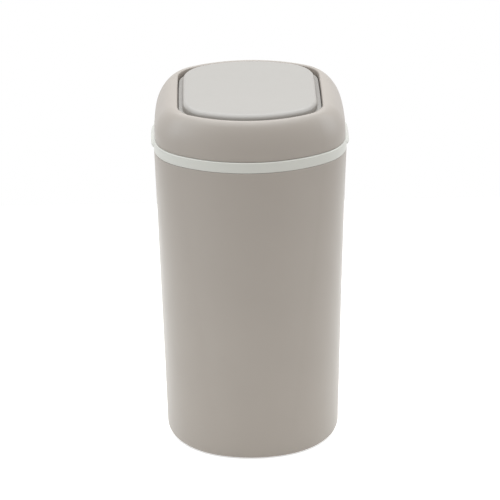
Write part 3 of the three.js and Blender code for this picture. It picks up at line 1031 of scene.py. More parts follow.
@dataclass
class Tub(Assembly):
    """The tall one-piece tub and its four feet.

    Attributes:
        body: The frame's body that it rides on.
        wall: Thickness of its wall.
        floor: Thickness of its floor.
        bottom_round: Radius of its lower edge.
        base_band: Width of the band that it stands on.
        base_run: Run of the slope inside that band.
        base_rise: Height of the recess under its floor.
        rib_inset: Where the stiffening rib under its floor runs.
        rib_width: Width of that rib.
        rib_height: Height of that rib.
        neck_inset: Step from its wall to its neck.
        neck_wall: Thickness of the neck.
        neck_height: Height of the neck.
        neck_root: Depth of the neck's root inside.
        neck_blend: Depth over which the root blends into the wall.
        edge_round: Radius of its small edges.
        recess_round: Radius where the slope inside its base meets the recess.
        root_round: Radius of the neck's root inside.
        blend_round: Radius where the root's blend meets the wall.
        gate_radius: Radius of the mark where the mould was filled.
        gate_height: Height of that mark.
        grooves: Radii of the grooves in a foot's tread, as shares of the foot's.
        groove: Width and depth of those grooves, as a share of the foot's radius.
    """

    body: str = "tub_body"
    wall: float = 0.0026
    floor: float = 0.0032
    bottom_round: float = 0.004
    base_band: float = 0.024
    base_run: float = 0.004
    base_rise: float = 0.003
    rib_inset: float = 0.046
    rib_width: float = 0.003
    rib_height: float = 0.0014
    neck_inset: float = 0.0034
    neck_wall: float = 0.0022
    neck_height: float = 0.0096
    neck_root: float = 0.004
    neck_blend: float = 0.012
    edge_round: float = 0.0007
    recess_round: float = 0.0014
    root_round: float = 0.0028
    blend_round: float = 0.0056
    gate_radius: float = 0.004
    gate_height: float = 0.0008
    grooves: tuple[float, ...] = (0.42, 0.7)
    groove: float = 1 / 14

    def build(self) -> None:
        """Makes the tub and its feet."""
        self.place("tub", self.shell() + self.gate_mark(), Finish.TAUPE_SHELL)
        for number in range(1, 5):
            node = f"foot_{number}"
            self.place(node, self.foot(*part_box(node)), Finish.RUBBER)

    def shell(self) -> Surface:
        """The tub's shell.

        The outline at a height z is the mixture of the footprint and the mouth by
        (z - bottom) / (shoulder - bottom), held between 0 and 1.

        Returns:
            The shell, floor and neck as one closed surface.
        """
        low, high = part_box("tub")
        top = high.z - self.neck_height
        recess = low.z + self.base_rise
        floor = recess + self.floor
        inside = self.neck_inset + self.neck_wall
        small = self.edge_round
        rib = self.rib_inset + self.rib_width
        profile, wear = rounded(
            [
                (FLOOR_FAN, recess, 0),
                (rib, recess, small / 2),
                (rib, recess - self.rib_height, small),
                (self.rib_inset, recess - self.rib_height, small),
                (self.rib_inset, recess, small / 2),
                (self.base_band + self.base_run, recess, self.recess_round),
                (self.base_band, low.z, small),
                (0, low.z, self.bottom_round),
                (0, top, small),
                (self.neck_inset, top, small / 2),
                (self.neck_inset, high.z, small),
                (inside, high.z, small),
                (inside, top - self.neck_root, self.root_round),
                (self.wall, top - self.neck_root - self.neck_blend, self.blend_round),
                (self.wall, floor, self.bottom_round),
                (FLOOR_FAN, floor, 0),
            ],
            closed=False,
        )
        share = np.clip((profile[:, 1] - low.z) / (top - low.z), 0, 1)[:, None, None]
        grid = PLANS.footprint.sweep(profile) * (1 - share) + PLANS.mouth.sweep(profile) * share
        return skin(grid, wear, Ends.FAN)

    def gate_mark(self) -> Surface:
        """The small raised disc under the floor where the mould was filled.

        Returns:
            The disc, with its upper part inside the floor.
        """
        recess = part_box("tub")[0].z + self.base_rise
        low, high = recess - self.gate_height, recess + self.floor / 2
        edge = self.gate_height / 3
        return turned([(self.gate_radius, low, edge), (self.gate_radius, high, 0)])

    def foot(self, low: Vector, high: Vector) -> Surface:
        """A round rubber foot with grooves in its tread.

        Args:
            low: Lowest corner of its node.
            high: Highest corner of its node.

        Returns:
            The foot's surface.
        """
        radius = (high.x - low.x) / 2
        groove = radius * self.groove
        sides = ((0, 0), (0, groove), (groove, groove), (groove, 0))
        grooves = [
            (radius * share + out, low.z + up, groove / 3)
            for share in self.grooves
            for out, up in sides
        ]
        edges = [(radius, low.z, self.edge_round), (radius, high.z, self.edge_round / 2)]
        middle = (low + high) / 2
        return turned([*grooves, *edges]).shifted(middle.x, middle.y, 0)


@dataclass
class BagRing(Assembly):
    """The light ring that clamps the bag over the tub's neck, and its gasket.

    Attributes:
        body: The frame's body that it rides on.
        height: Height of the band that shows.
        band_wall: Thickness of that band.
        roof: Thickness of its roof.
        upstand: Height of the collar that the cap's frame sits in.
        skirt_wall: Thickness of the skirt inside the neck.
        skirt_gap: Gap between the neck and the skirt.
        collar_wall: Thickness of the collar.
        edge_round: Radius of the band's edges.
        inner_round: Radius of the other edges.
        gasket_round: Radius of the gasket's edges.
        row: The most that two rows of points lie apart, for the grips' form.
        side_steps: Points on half a side of its outline, for the grips' form.
        grip_root: How deep a grip starts inside the band.
        grip_half_length: Half length of a grip.
        grip_height: Height of a grip above the band's lower edge.
    """

    body: str = "ring_body"
    height: float = 0.014
    band_wall: float = 0.0024
    roof: float = 0.0024
    upstand: float = 0.0056
    skirt_wall: float = 0.0018
    skirt_gap: float = 0.0006
    collar_wall: float = 0.0022
    edge_round: float = 0.0008
    inner_round: float = 0.0007
    gasket_round: float = 0.0004
    row: float = 0.0008
    side_steps: int = 64
    grip_root: float = 0.001
    grip_half_length: float = 0.036
    grip_height: float = 0.0084

    def build(self, tub: Tub) -> None:
        """Makes the ring and its gasket.

        Args:
            tub: The tub whose neck they sit on.
        """
        self.place("bag_ring", self.ring(tub), Finish.LIGHT_RING)
        low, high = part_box("ring_gasket")
        inner = tub.neck_inset + tub.neck_wall
        gasket = PLANS.mouth.strip(tub.neck_inset, inner, low.z, high.z, self.gasket_round)
        self.place("ring_gasket", gasket, Finish.RUBBER)

    def bore(self, tub: Tub) -> float:
        """How far the ring's inner face stands inside the tub's outline."""
        return tub.neck_inset + tub.neck_wall + self.skirt_gap + self.skirt_wall

    def ring(self, tub: Tub) -> Surface:
        """The ring's band, roof, collar and skirt, with its two grips.

        Args:
            tub: The tub whose neck it sits on.

        Returns:
            The ring's surface.
        """
        low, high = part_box("bag_ring")
        top = high.z - self.upstand
        band_low = top - self.height
        roof_low = top - self.roof
        inner = self.bore(tub)
        skirt_outer = inner - self.skirt_wall
        collar = inner - self.collar_wall
        small = self.inner_round
        profile, wear = rounded(
            [
                (0, band_low, self.edge_round),
                (0, top, self.edge_round),
                (collar, top, small / 2),
                (collar, high.z, small),
                (inner, high.z, small),
                (inner, low.z, small),
                (skirt_outer, low.z, small),
                (skirt_outer, roof_low, small / 2),
                (self.band_wall, roof_low, small / 2),
                (self.band_wall, band_low, small),
            ],
            closed=True,
            longest=self.row,
        )
        grid = replace(PLANS.mouth, side_steps=self.side_steps).sweep(profile)
        return skin(self.gripped(grid, profile, band_low), wear, Ends.JOINED)

    def gripped(self, grid: np.ndarray, profile: np.ndarray, low: float) -> np.ndarray:
        """Pulls the band's outer rows out to the grips.

        A grip is part of a swollen ellipsoid: with u the height from its middle as a
        share of half its height, x = root + reach * sqrt(1 - (y / half)^4 - |u|^3).

        Args:
            grid: The ring's points.
            profile: The (inset, z) of each of its rows.
            low: The band's lower edge.

        Returns:
            The points with the grips.
        """
        root = PLANS.mouth.half - self.grip_root
        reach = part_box("bag_ring")[1].x - root
        half_height = self.grip_height / 2
        from_middle = np.abs(profile[:, 1] - low - half_height) / half_height
        outer = profile[:, 0] <= self.edge_round + SAME_PLACE
        inside = 1 - (grid[..., 1] / self.grip_half_length) ** 4 - from_middle[:, None] ** 3
        swollen = root + reach * np.sqrt(np.clip(inside, 0, None))
        pulled = np.maximum(np.abs(grid[..., 0]), np.where(inside > 0, swollen, 0))
        shaped = grid.copy()
        shaped[..., 0] = np.where(outer[:, None], np.sign(grid[..., 0]) * pulled, grid[..., 0])
        return shaped


@dataclass
class Cap(Assembly):
    """The domed cap with its frame, gasket, bearings and screws.

    Attributes:
        body: The frame's body that it rides on.
        inset: How far its wall stands inside the tub's outline.
        wall: Thickness of its wall.
        straight: Height of its straight wall.
        softness: How much less full than an ellipse its shoulder is at the sides.
        shoulder_rows: Rows of points on the shoulder.
        row: The most that two other rows of points lie apart.
        rim_round: Radius of the opening's rim.
        lip: Depth of the lip inside the opening.
        lip_wall: Thickness of that lip.
        edge_round: Radius of its small edges.
        fine_round: Radius of the edges of its bushes and of the clamps' ends.
        fit_gap: Gap between pieces that fit together.
        flange: Thickness of the frame's flange.
        flange_reach: Width of that flange.
        frame_gap: Gap between the cap's wall and the flange.
        frame_wall: Thickness of the frame's spigot.
        gasket_round: Radius of the gasket's edges.
        boss: Radius of the screw bosses.
        boss_sides: Points round a boss.
        bearing_half_width: Half width of a bearing block.
        bearing_length: Length of a bearing block along the pivot's axis.
        bearing_stations: Outlines along a bearing block, after its first.
        saddle: Radius of the saddle that holds a bush.
        saddle_steps: Points on a saddle.
        bush_bore: Radius of a bush's bore.
        bush_flange: Thickness of a bush's flange.
        split: Gap between a bearing block and its clamp.
        stop_from: Where a swing stop starts, from the pivot.
        stop_width: Width of a swing stop.
        stop_reach: How far the stops stand inwards of a clamp.
        stop_root: How deep a stop runs into its clamp.
    """

    body: str = "cap_body"
    inset: float = 0.0018
    wall: float = 0.0025
    straight: float = 0.012
    softness: float = 0.22
    shoulder_rows: int = 40
    row: float = 0.003
    rim_round: float = 0.0022
    lip: float = 0.010
    lip_wall: float = 0.002
    edge_round: float = 0.0007
    fine_round: float = 0.0003
    fit_gap: float = 0.0003
    flange: float = 0.0025
    flange_reach: float = 0.0145
    frame_gap: float = 0.0005
    frame_wall: float = 0.0022
    gasket_round: float = 0.0008
    boss: float = 0.004
    boss_sides: int = 40
    bearing_half_width: float = 0.0155
    bearing_length: float = 0.012
    bearing_stations: int = 12
    saddle: float = 0.0058
    saddle_steps: int = 25
    bush_bore: float = 0.0033
    bush_flange: float = 0.0012
    split: float = 0.0003
    stop_from: float = 0.0085
    stop_width: float = 0.004
    stop_reach: float = 0.0034
    stop_root: float = 0.002

    def build(self, ring: BagRing, tub: Tub, flap: "Flap", pivot: Vector) -> None:
        """Makes the cap's pieces.

        Args:
            ring: The ring that it sits on.
            tub: The tub whose outline it continues.
            flap: The flap that its stops meet.
            pivot: The middle of the flap's axis.
        """
        shell = self.shell()
        for side in (1, -1):
            shell = shell + self.bearing_block(pivot).on_side(side)
        for number in range(1, 5):
            shell = shell + self.screw_boss(f"frame_screw_{number}")
        self.place("cap_shell", shell, Finish.TAUPE_SHELL)
        self.place("cap_frame", self.inner_frame(ring, tub), Finish.INNER_FRAME)
        self.place("cap_gasket", self.gasket(ring, tub), Finish.RUBBER)
        for name, side in (("right", 1), ("left", -1)):
            self.place(f"bush_{name}", self.bush(pivot).on_side(side), Finish.BUSH)
            clamp = self.clamp(pivot, flap.rib_half).on_side(side)
            self.place(f"bearing_clamp_{name}", clamp, Finish.INNER_FRAME)
        place_screws(self, "frame_screw", 4, Screw())
        place_screws(self, "clamp_screw", 4, Screw())

    def shoulder(
        self, low_inset: float, high_inset: float, z0: float, z1: float, softness: float = 0.0
    ) -> np.ndarray:
        """The rows of the shoulder, a quarter of a superellipse from the wall to the rim.

        At a turn t the outline is the mixture of the mouth and the opening by
        1 - (cos t)^(2 / p), at a height of z0 + (z1 - z0) * (sin t)^(2 / p). With n the
        part of the outline's normal along X, the power p is 2 - softness * n^2 * (2 - n^2),
        and a power of 2 is an ellipse.

        Args:
            low_inset: Inset from the mouth at the lower end.
            high_inset: Inset from the opening at the upper end.
            z0: Height of the lower end.
            z1: Height of the upper end.
            softness: How much less full than an ellipse it is at the sides.

        Returns:
            The grid of points, from the lower end up.
        """
        turn = np.linspace(0, math.pi / 2, self.shoulder_rows)
        lower = PLANS.mouth.sweep(np.stack([np.full_like(turn, low_inset), turn], axis=1))
        upper = PLANS.opening.sweep(np.stack([np.full_like(turn, high_inset), turn], axis=1))
        sideways = PLANS.mouth.rim()[1][:, 0] ** 2
        power = 2 / (2 - softness * sideways * (2 - sideways))
        share = 1 - np.abs(np.cos(turn))[:, None] ** power
        grid = lower * (1 - share[..., None]) + upper * share[..., None]
        grid[..., 2] = z0 + (z1 - z0) * np.sin(turn)[:, None] ** power
        return grid

    def shell(self) -> Surface:
        """The cap's skin: wall, shoulder, rim, lip and the same again inside.

        Returns:
            The shell without its blocks and bosses.
        """
        low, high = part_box("cap_shell")
        wall_top = low.z + self.straight
        inner = self.inset + self.wall
        small = self.edge_round
        inside_top = high.z - self.wall
        wall, wall_wear = rounded(
            [
                (inner, wall_top, 0),
                (inner, low.z, small / 2),
                (self.inset, low.z, small),
                (self.inset, wall_top, 0),
            ],
            closed=False,
            longest=self.row,
        )
        # The lip's first corner only gives the rim's arc its direction.
        lip, lip_wear = rounded(
            [
                (-1.5 * self.rim_round, high.z, 0),
                (0, high.z, self.rim_round),
                (0, high.z - self.lip, small),
                (-self.lip_wall, high.z - self.lip, small),
                (-self.lip_wall, inside_top - small, 0),
            ],
            closed=False,
            longest=self.row,
        )
        outside = self.shoulder(self.inset, -self.rim_round, wall_top, high.z, self.softness)
        inside = self.shoulder(inner, -self.lip_wall, wall_top, inside_top)[::-1]
        smooth = np.zeros(len(outside))
        grid = np.concatenate(
            [PLANS.mouth.sweep(wall), outside, PLANS.opening.sweep(lip[1:]), inside]
        )
        wear = np.concatenate([wall_wear, smooth, lip_wear[1:], smooth])
        return skin(grid, wear, Ends.JOINED)

    def roof(self, points: np.ndarray, index: int) -> np.ndarray:
        """Heights a third of the wall above the shoulder's inner face, near one place.

        With L and U the face's lower and upper end there, the share s of a point P is
        (P - L) . (U - L) / |U - L|^2, and the height follows from cos t = 1 - s.

        Args:
            points: The (x, y) of the points.
            index: The place in the plan's loop.

        Returns:
            A height for each point.
        """
        low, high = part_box("cap_shell")
        mouth, mouth_normal = PLANS.mouth.rim()
        opening, opening_normal = PLANS.opening.rim()
        lower = mouth[index] - (self.inset + self.wall) * mouth_normal[index]
        upper = opening[index] + self.lip_wall * opening_normal[index]
        span = upper - lower
        share = np.clip((points - lower) @ span / (span @ span), 0, 1)
        start = low.z + self.straight
        rise = (high.z - self.wall - start) * np.sqrt(1 - (1 - share) ** 2)
        return start + rise + self.wall / 3

    def screw_boss(self, node: str) -> Surface:
        """The round boss over one frame screw, whose top lies in the shoulder.

        Args:
            node: The screw's node.

        Returns:
            The boss.
        """
        low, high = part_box(node)
        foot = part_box("cap_frame")[1].z + self.fit_gap
        angle = np.linspace(0, 2 * math.pi, self.boss_sides, endpoint=False)
        circle = np.stack([np.cos(angle), np.sin(angle)], axis=1)
        centre = np.array((low + high)[:2]) / 2
        wall = centre + self.boss * circle
        top = self.roof(np.abs(wall), PLANS.mouth.corner_index())
        radii = np.array([self.boss - self.edge_round, self.boss, self.boss])
        rows = centre + radii[:, None, None] * circle[None]
        level = np.full_like(top, foot)
        heights = np.stack([level, level + self.edge_round, top])
        grid = np.concatenate([rows, heights[..., None]], axis=2)
        return skin(grid, np.array([0.5, 0.5, 0.0]), Ends.FAN)

    def half_round(self, pivot: Vector, z: float, upper: bool) -> list[Corner]:
        """The saddle's half circle.

        Args:
            pivot: The middle of the flap's axis.
            z: The height at which it ends on both sides.
            upper: Whether it lies over the axis or under it.

        Returns:
            Its corners in an outline of (y, z) corners.
        """
        turn = np.linspace(0, math.pi, self.saddle_steps)
        across = self.saddle * np.cos(turn)
        rise = self.saddle * np.sin(turn)
        heights = pivot.z + (rise if upper else -rise)
        heights[[0, -1]] = z
        order = slice(None, None, -1 if upper else 1)
        return [(float(y), float(h), 0.0) for y, h in zip(across[order], heights[order])]

    def bearing_block(self, pivot: Vector) -> Surface:
        """The block under the shoulder over one bush, with its half-round saddle.

        It is the outline carried along X. At each station its top is lifted into the
        shoulder, from the height that the outline first has there.

        Args:
            pivot: The middle of the flap's axis.

        Returns:
            The right block.
        """
        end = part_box("bush_right")[1].x
        start = end - self.bearing_length
        foot = pivot.z + self.split / 2
        half = self.bearing_half_width
        first_top = pivot.z + 2 * self.saddle
        outline, _ = rounded(
            [
                (half, foot, self.edge_round),
                (half, first_top, 0),
                (-half, first_top, 0),
                (-half, foot, self.edge_round),
                *self.half_round(pivot, foot, upper=True),
            ],
            closed=True,
            longest=CARRIED_ROW,
        )
        stations = np.linspace(start + self.edge_round, end, self.bearing_stations)
        xs = np.concatenate([[start], stations])
        insets = np.zeros(len(xs))
        insets[0] = self.edge_round / 2
        rows = np.stack([drawn_in(outline, amount) for amount in insets])
        tops = self.roof(np.stack([xs, np.zeros_like(xs)], axis=1), 0)
        lifted = rows[..., 1] >= first_top - self.edge_round
        rows[..., 1] = np.where(lifted, tops[:, None], rows[..., 1])
        along = np.broadcast_to(xs[:, None, None], rows.shape[:2] + (1,))
        return skin(np.concatenate([along, rows], axis=2), np.zeros(len(xs)), Ends.FLAT)

    def inner_frame(self, ring: BagRing, tub: Tub) -> Surface:
        """The frame that stiffens the cap's underside, with the spigot inside the ring.

        Args:
            ring: The ring that the spigot goes into.
            tub: The tub that carries the ring.

        Returns:
            The frame.
        """
        low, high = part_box("cap_frame")
        flange_low = high.z - self.flange
        outer = ring.bore(tub) + ring.skirt_gap
        inner = outer + self.frame_wall
        edge = self.inset + self.wall + self.frame_gap
        reach = edge + self.flange_reach
        small = self.edge_round
        return PLANS.mouth.ring(
            [
                (outer, low.z, small),
                (outer, flange_low, small / 2),
                (edge, flange_low, small),
                (edge, high.z, small),
                (reach, high.z, small),
                (reach, flange_low, small),
                (inner, flange_low, small / 2),
                (inner, low.z, small),
            ]
        )

    def gasket(self, ring: BagRing, tub: Tub) -> Surface:
        """The flat gasket between the ring's collar and the cap's frame.

        Args:
            ring: The ring that it lies on.
            tub: The tub that carries the ring.

        Returns:
            The gasket, a fitting gap outside the frame's spigot.
        """
        low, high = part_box("cap_gasket")
        outer = self.inset + self.wall + self.frame_gap
        inner = ring.bore(tub) + ring.skirt_gap - self.fit_gap
        return PLANS.mouth.strip(outer, inner, low.z, high.z, self.gasket_round)

    def bush(self, pivot: Vector) -> Surface:
        """The right bush: a flanged sleeve round the pivot.

        Args:
            pivot: The middle of the flap's axis.

        Returns:
            The sleeve.
        """
        low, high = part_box("bush_right")
        flange = high.z - pivot.z
        barrel, bore = self.saddle - self.fit_gap, self.bush_bore
        step = low.x + self.bush_flange
        small = self.fine_round
        sleeve = turned(
            [
                (flange, low.x, small),
                (flange, step, small),
                (barrel, step, small / 2),
                (barrel, high.x, small),
                (bore, high.x, small),
                (bore, low.x, small),
            ],
            ends=Ends.JOINED,
        )
        return sleeve.turned_to_x().shifted(0, 0, pivot.z)

    def clamp(self, pivot: Vector, rib_half: float) -> Surface:
        """The right clamp: a saddle screwed up under its bush, with two swing stops.

        Args:
            pivot: The middle of the flap's axis.
            rib_half: Half width of the rib that meets the stops.

        Returns:
            The clamp.
        """
        low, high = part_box("bearing_clamp_right")
        top = pivot.z - self.split / 2
        half = self.bearing_half_width
        small = self.edge_round
        outline = [
            (half, low.z, small),
            (half, top, small),
            *self.half_round(pivot, top, upper=False),
            (-half, top, small),
            (-half, low.z, small),
        ]
        start = low.x + self.stop_reach
        body = bar(outline, start, high.x, self.fine_round)
        foot = self.stop_level(pivot, rib_half)
        for side in (1, -1):
            near, far = sorted([side * self.stop_from, side * (self.stop_from + self.stop_width)])
            inner, outer = Vector((low.x, near, foot)), Vector((start + self.stop_root, far, top))
            body = body + block(inner, outer, small)
        return body

    def stop_level(self, pivot: Vector, rib_half: float) -> float:
        """The height of the swing stops' lower face.

        A rib of half width w, turned by the swing's limit a, passes the stop's near edge
        with the point of its side that lies d = (stop_from - w cos a) / sin a from the
        pivot along the rib. That point is d cos a - w sin a below the pivot.

        Args:
            pivot: The middle of the flap's axis.
            rib_half: Half width of the rib.

        Returns:
            That height, with a fitting gap above the rib.
        """
        swing = math.radians(max(joint_named("flap_swing")["range_deg"]))
        along = (self.stop_from - rib_half * math.cos(swing)) / math.sin(swing)
        drop = along * math.cos(swing) - rib_half * math.sin(swing)
        return pivot.z - drop + self.fit_gap


@dataclass
class Flap(Assembly):
    """The swinging flap: panel, base, seal, pivot pins, weight and screws.

    Attributes:
        body: The frame's body that it rides on.
        fillet: Radius of the panel's upper edge.
        top_wall: Thickness of the panel's top.
        wall: Thickness of the panel's side.
        ledge: Thickness of the ledge.
        rim_height: Height of the rim that locates the panel.
        rim_wall: Thickness of that rim.
        fit_gap: Gap between pieces that fit together.
        cheek_half: Half width of a cheek.
        cheek_below: How far a cheek reaches below the pivot.
        cheek_x: Inner face of a cheek.
        cheek_thickness: Thickness of a cheek.
        cheek_steps: Points round a cheek's lower end.
        rib_half: Half width of a stop rib.
        rib_reach: Depth of a stop rib below the pivot.
        rib_from: Where a stop rib starts below the pivot.
        rib_root: How deep a stop rib runs into its cheek.
        seal_width: Width of the seal.
        seal_reach: How far the seal stands outside the ledge.
        post: Radius of the posts that carry the weight.
        post_flare: Radius of a post's root, as a share of its own.
        post_root: Height of that root under the ledge, and the radius of its bend.
        spine_half: Half width of the spine.
        spine_depth: Depth of the spine.
        edge_round: Radius of small edges.
        cheek_round: Radius of a cheek's edges.
        rib_round: Radius of a stop rib's edges.
        seal_round: Radius of the seal's edges.
        weight_round: Radius of the counterweight's edges.
        pin_radius: Radius of a pivot pin.
        pin_head: Thickness of its head.
        pin_head_round: Radius of the edge of its head's face.
        pin_root: Radius of the head's other edge and of the corner under the head.
        pin_round: Radius of its outer end's edge.
    """

    body: str = "flap_body"
    fillet: float = 0.006
    top_wall: float = 0.0022
    wall: float = 0.002
    ledge: float = 0.0024
    rim_height: float = 0.0034
    rim_wall: float = 0.0016
    fit_gap: float = 0.0003
    cheek_half: float = 0.014
    cheek_below: float = 0.013
    cheek_x: float = 0.0788
    cheek_thickness: float = 0.005
    cheek_steps: int = 33
    rib_half: float = 0.0015
    rib_reach: float = 0.012
    rib_from: float = 0.0082
    rib_root: float = 0.001
    seal_width: float = 0.006
    seal_reach: float = 0.0008
    post: float = 0.005
    post_flare: float = 1.35
    post_root: float = 0.002
    spine_half: float = 0.0015
    spine_depth: float = 0.007
    edge_round: float = 0.0007
    cheek_round: float = 0.0006
    rib_round: float = 0.0004
    seal_round: float = 0.0006
    weight_round: float = 0.0012
    pin_radius: float = 0.003
    pin_head: float = 0.0022
    pin_head_round: float = 0.0007
    pin_root: float = 0.0002
    pin_round: float = 0.0006

    def build(self, pivot: Vector) -> None:
        """Makes the flap's pieces.

        Args:
            pivot: The middle of its axis.
        """
        self.place("flap_top", self.panel(), Finish.FLAP_PANEL)
        self.place("flap_base", self.base(pivot), Finish.FLAP_PANEL)
        self.place("flap_seal", self.seal(), Finish.RUBBER)
        for name, side in (("right", 1), ("left", -1)):
            self.place(f"pivot_pin_{name}", self.pin(pivot).on_side(side), Finish.STEEL)
        weight = block(*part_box("counterweight"), self.weight_round)
        self.place("counterweight", weight, Finish.STEEL)
        place_screws(self, "flap_screw", 4, Screw())
        heavy = Screw(
            shank=0.002,
            head=0.004,
            head_height=0.0024,
            recess=0.0023,
            recess_depth=0.0014,
            pitch=0.0014,
        )
        place_screws(self, "weight_screw", 2, heavy)

    def panel(self) -> Surface:
        """The top panel: a flat skin with a rounded edge and a hollow underside.

        Returns:
            The panel.
        """
        low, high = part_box("flap_top")
        roof = high.z - self.top_wall
        small = self.edge_round
        return PLANS.panel.dish(
            [
                (self.wall, roof, self.fillet - self.wall),
                (self.wall, low.z, small / 3),
                (0, low.z, small),
                (0, high.z, self.fillet),
            ],
            FLAP_FAN,
        )

    def base(self, pivot: Vector) -> Surface:
        """The base: ledge, locating rim, cheeks, weight posts and spine.

        Args:
            pivot: The middle of its axis.

        Returns:
            The base as one surface.
        """
        reach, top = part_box("flap_base")[1].xz
        ledge_top = top - self.rim_height
        ledge_low = ledge_top - self.ledge
        middle = (ledge_top + ledge_low) / 2
        small = self.edge_round
        plate = PLANS.ledge.dish([(0, ledge_low, small), (0, ledge_top, small)], FLAP_FAN)
        outer = self.wall + self.fit_gap
        inner = outer + self.rim_wall
        rim_top = [(outer, top, small / 2), (inner, top, small / 2)]
        rim = PLANS.panel.ring([(outer, middle, 0), *rim_top, (inner, middle, 0)])
        spine = block(
            Vector((-self.cheek_x, -self.spine_half, ledge_low - self.spine_depth)),
            Vector((self.cheek_x, self.spine_half, middle)),
            small,
        )
        whole = plate + rim + spine
        for number, side in ((1, 1), (2, -1)):
            whole = whole + self.cheek(pivot, middle, reach).on_side(side)
            whole = whole + self.weight_post(f"weight_screw_{number}", middle)
        return whole

    def cheek(self, pivot: Vector, top: float, reach: float) -> Surface:
        """The right cheek, round at its lower end, with its stop rib.

        Args:
            pivot: The middle of the flap's axis.
            top: Where the cheek ends in the ledge.
            reach: How far out its rib goes.

        Returns:
            The cheek and its rib.
        """
        half = self.cheek_half
        centre = pivot.z - self.cheek_below + half
        turn = np.linspace(math.pi, 2 * math.pi, self.cheek_steps)
        lower = [(half * math.cos(a), centre + half * math.sin(a), 0.0) for a in turn]
        outline = [*lower, (half, top, 0), (-half, top, 0)]
        outer_x = self.cheek_x + self.cheek_thickness
        web = bar(outline, self.cheek_x, outer_x, self.cheek_round)
        rib = block(
            Vector((outer_x - self.rib_root, -self.rib_half, pivot.z - self.rib_reach)),
            Vector((reach, self.rib_half, pivot.z - self.rib_from)),
            self.rib_round,
        )
        return web + rib

    def weight_post(self, node: str, top: float) -> Surface:
        """One of the posts that the counterweight is screwed to.

        Args:
            node: The node of the screw that goes into it.
            top: Where it ends in the ledge.

        Returns:
            The post.
        """
        low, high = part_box(node)
        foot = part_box("counterweight")[1].z + self.fit_gap
        post = turned(
            [
                (self.post, foot, self.edge_round),
                (self.post, top - self.ledge - self.post_root, self.post_root),
                (self.post * self.post_flare, top, 0),
            ]
        )
        return post.shifted((low.x + high.x) / 2, (low.y + high.y) / 2, 0)

    def seal(self) -> Surface:
        """The soft seal under the ledge.

        Returns:
            The seal, which stands a little out of the ledge.
        """
        low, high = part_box("flap_seal")
        inner = self.seal_width - self.seal_reach
        return PLANS.ledge.strip(-self.seal_reach, inner, low.z, high.z, self.seal_round)

    def pin(self, pivot: Vector) -> Surface:
        """The right pivot pin, with its head inside the cheek.

        Args:
            pivot: The middle of the flap's axis.

        Returns:
            The pin.
        """
        low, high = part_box("pivot_pin_right")
        head = high.z - pivot.z
        under_head = low.x + self.pin_head
        shaft = turned(
            [
                (head, low.x, self.pin_head_round),
                (head, under_head, self.pin_root),
                (self.pin_radius, under_head, self.pin_root),
                (self.pin_radius, high.x, self.pin_round),
            ]
        )
        return shaft.turned_to_x().shifted(0, 0, pivot.z)


# Studio


@dataclass(frozen=True)
class Softbox:
    """One square lamp.

    Attributes:
        name: Its name.
        place: Where it hangs.
        aim: What it points at.
        size: Its width and height.
        watts: Its power.
        tint: Its colour.
    """

    name: str
    place: tuple[float, float, float]
    aim: tuple[float, float, float]
    size: float
    watts: float
    tint: tuple[float, float, float]

    def hang(self) -> None:
        """Adds the lamp to the scene."""
        lamp = bpy.data.lights.new(self.name, "AREA")
        lamp.shape = "SQUARE"
        lamp.size, lamp.energy, lamp.color = self.size, self.watts, self.tint
        held = bpy.data.objects.new(self.name, lamp)
        bpy.context.scene.collection.objects.link(held)
        held.location = self.place
        look = Vector(self.aim) - Vector(self.place)
        held.rotation_euler = look.to_track_quat("-Z", "Y").to_euler()


@dataclass(frozen=True)
class ViewingAngle:
    """The photograph's camera.

    Attributes:
        elevation: Degrees that it looks down.
        azimuth: Degrees that it stands to the right of straight ahead.
        roll: Degrees that it leans to the left.
        distance: Its distance from the target.
        target: The point in the middle of the picture.
        focal_pixels: Its focal length in pixels of the picture.
        picture: Width of the picture in pixels.
        sensor: Width of the sensor in millimetres.
        nearest: The least distance that it sees.
        furthest: The greatest distance that it sees.
    """

    elevation: float = 24.28
    azimuth: float = -0.9
    roll: float = -0.65
    distance: float = 3.41632
    target: tuple[float, float, float] = (-0.00139, 0.0, 0.25327)
    focal_pixels: float = 2573.0
    picture: float = 500.0
    sensor: float = 36.0
    nearest: float = 0.05
    furthest: float = 50.0

    def set_up(self) -> None:
        """Adds the camera and makes it the scene's own.

        With e the elevation and a the azimuth, it stands from the target in the direction
        (sin a cos e, -cos a cos e, sin e), looks back at it and leans about that line.
        """
        rise, turn, lean = (math.radians(a) for a in (self.elevation, self.azimuth, self.roll))
        back = Vector(
            (math.sin(turn) * math.cos(rise), -math.cos(turn) * math.cos(rise), math.sin(rise))
        )
        right = Vector((math.cos(turn), math.sin(turn), 0))
        up = back.cross(right)
        tilted_right = right * math.cos(lean) + up * math.sin(lean)
        tilted_up = up * math.cos(lean) - right * math.sin(lean)
        made = bpy.data.cameras.new("camera")
        made.sensor_width = self.sensor
        made.lens = self.focal_pixels / self.picture * self.sensor
        made.clip_start, made.clip_end = self.nearest, self.furthest
        camera = bpy.data.objects.new("camera", made)
        bpy.context.scene.collection.objects.link(camera)
        turned_axes = Matrix((tilted_right, tilted_up, back)).transposed().to_4x4()
        place = Vector(self.target) + back * self.distance
        camera.matrix_world = Matrix.Translation(place) @ turned_axes
        bpy.context.scene.camera = camera


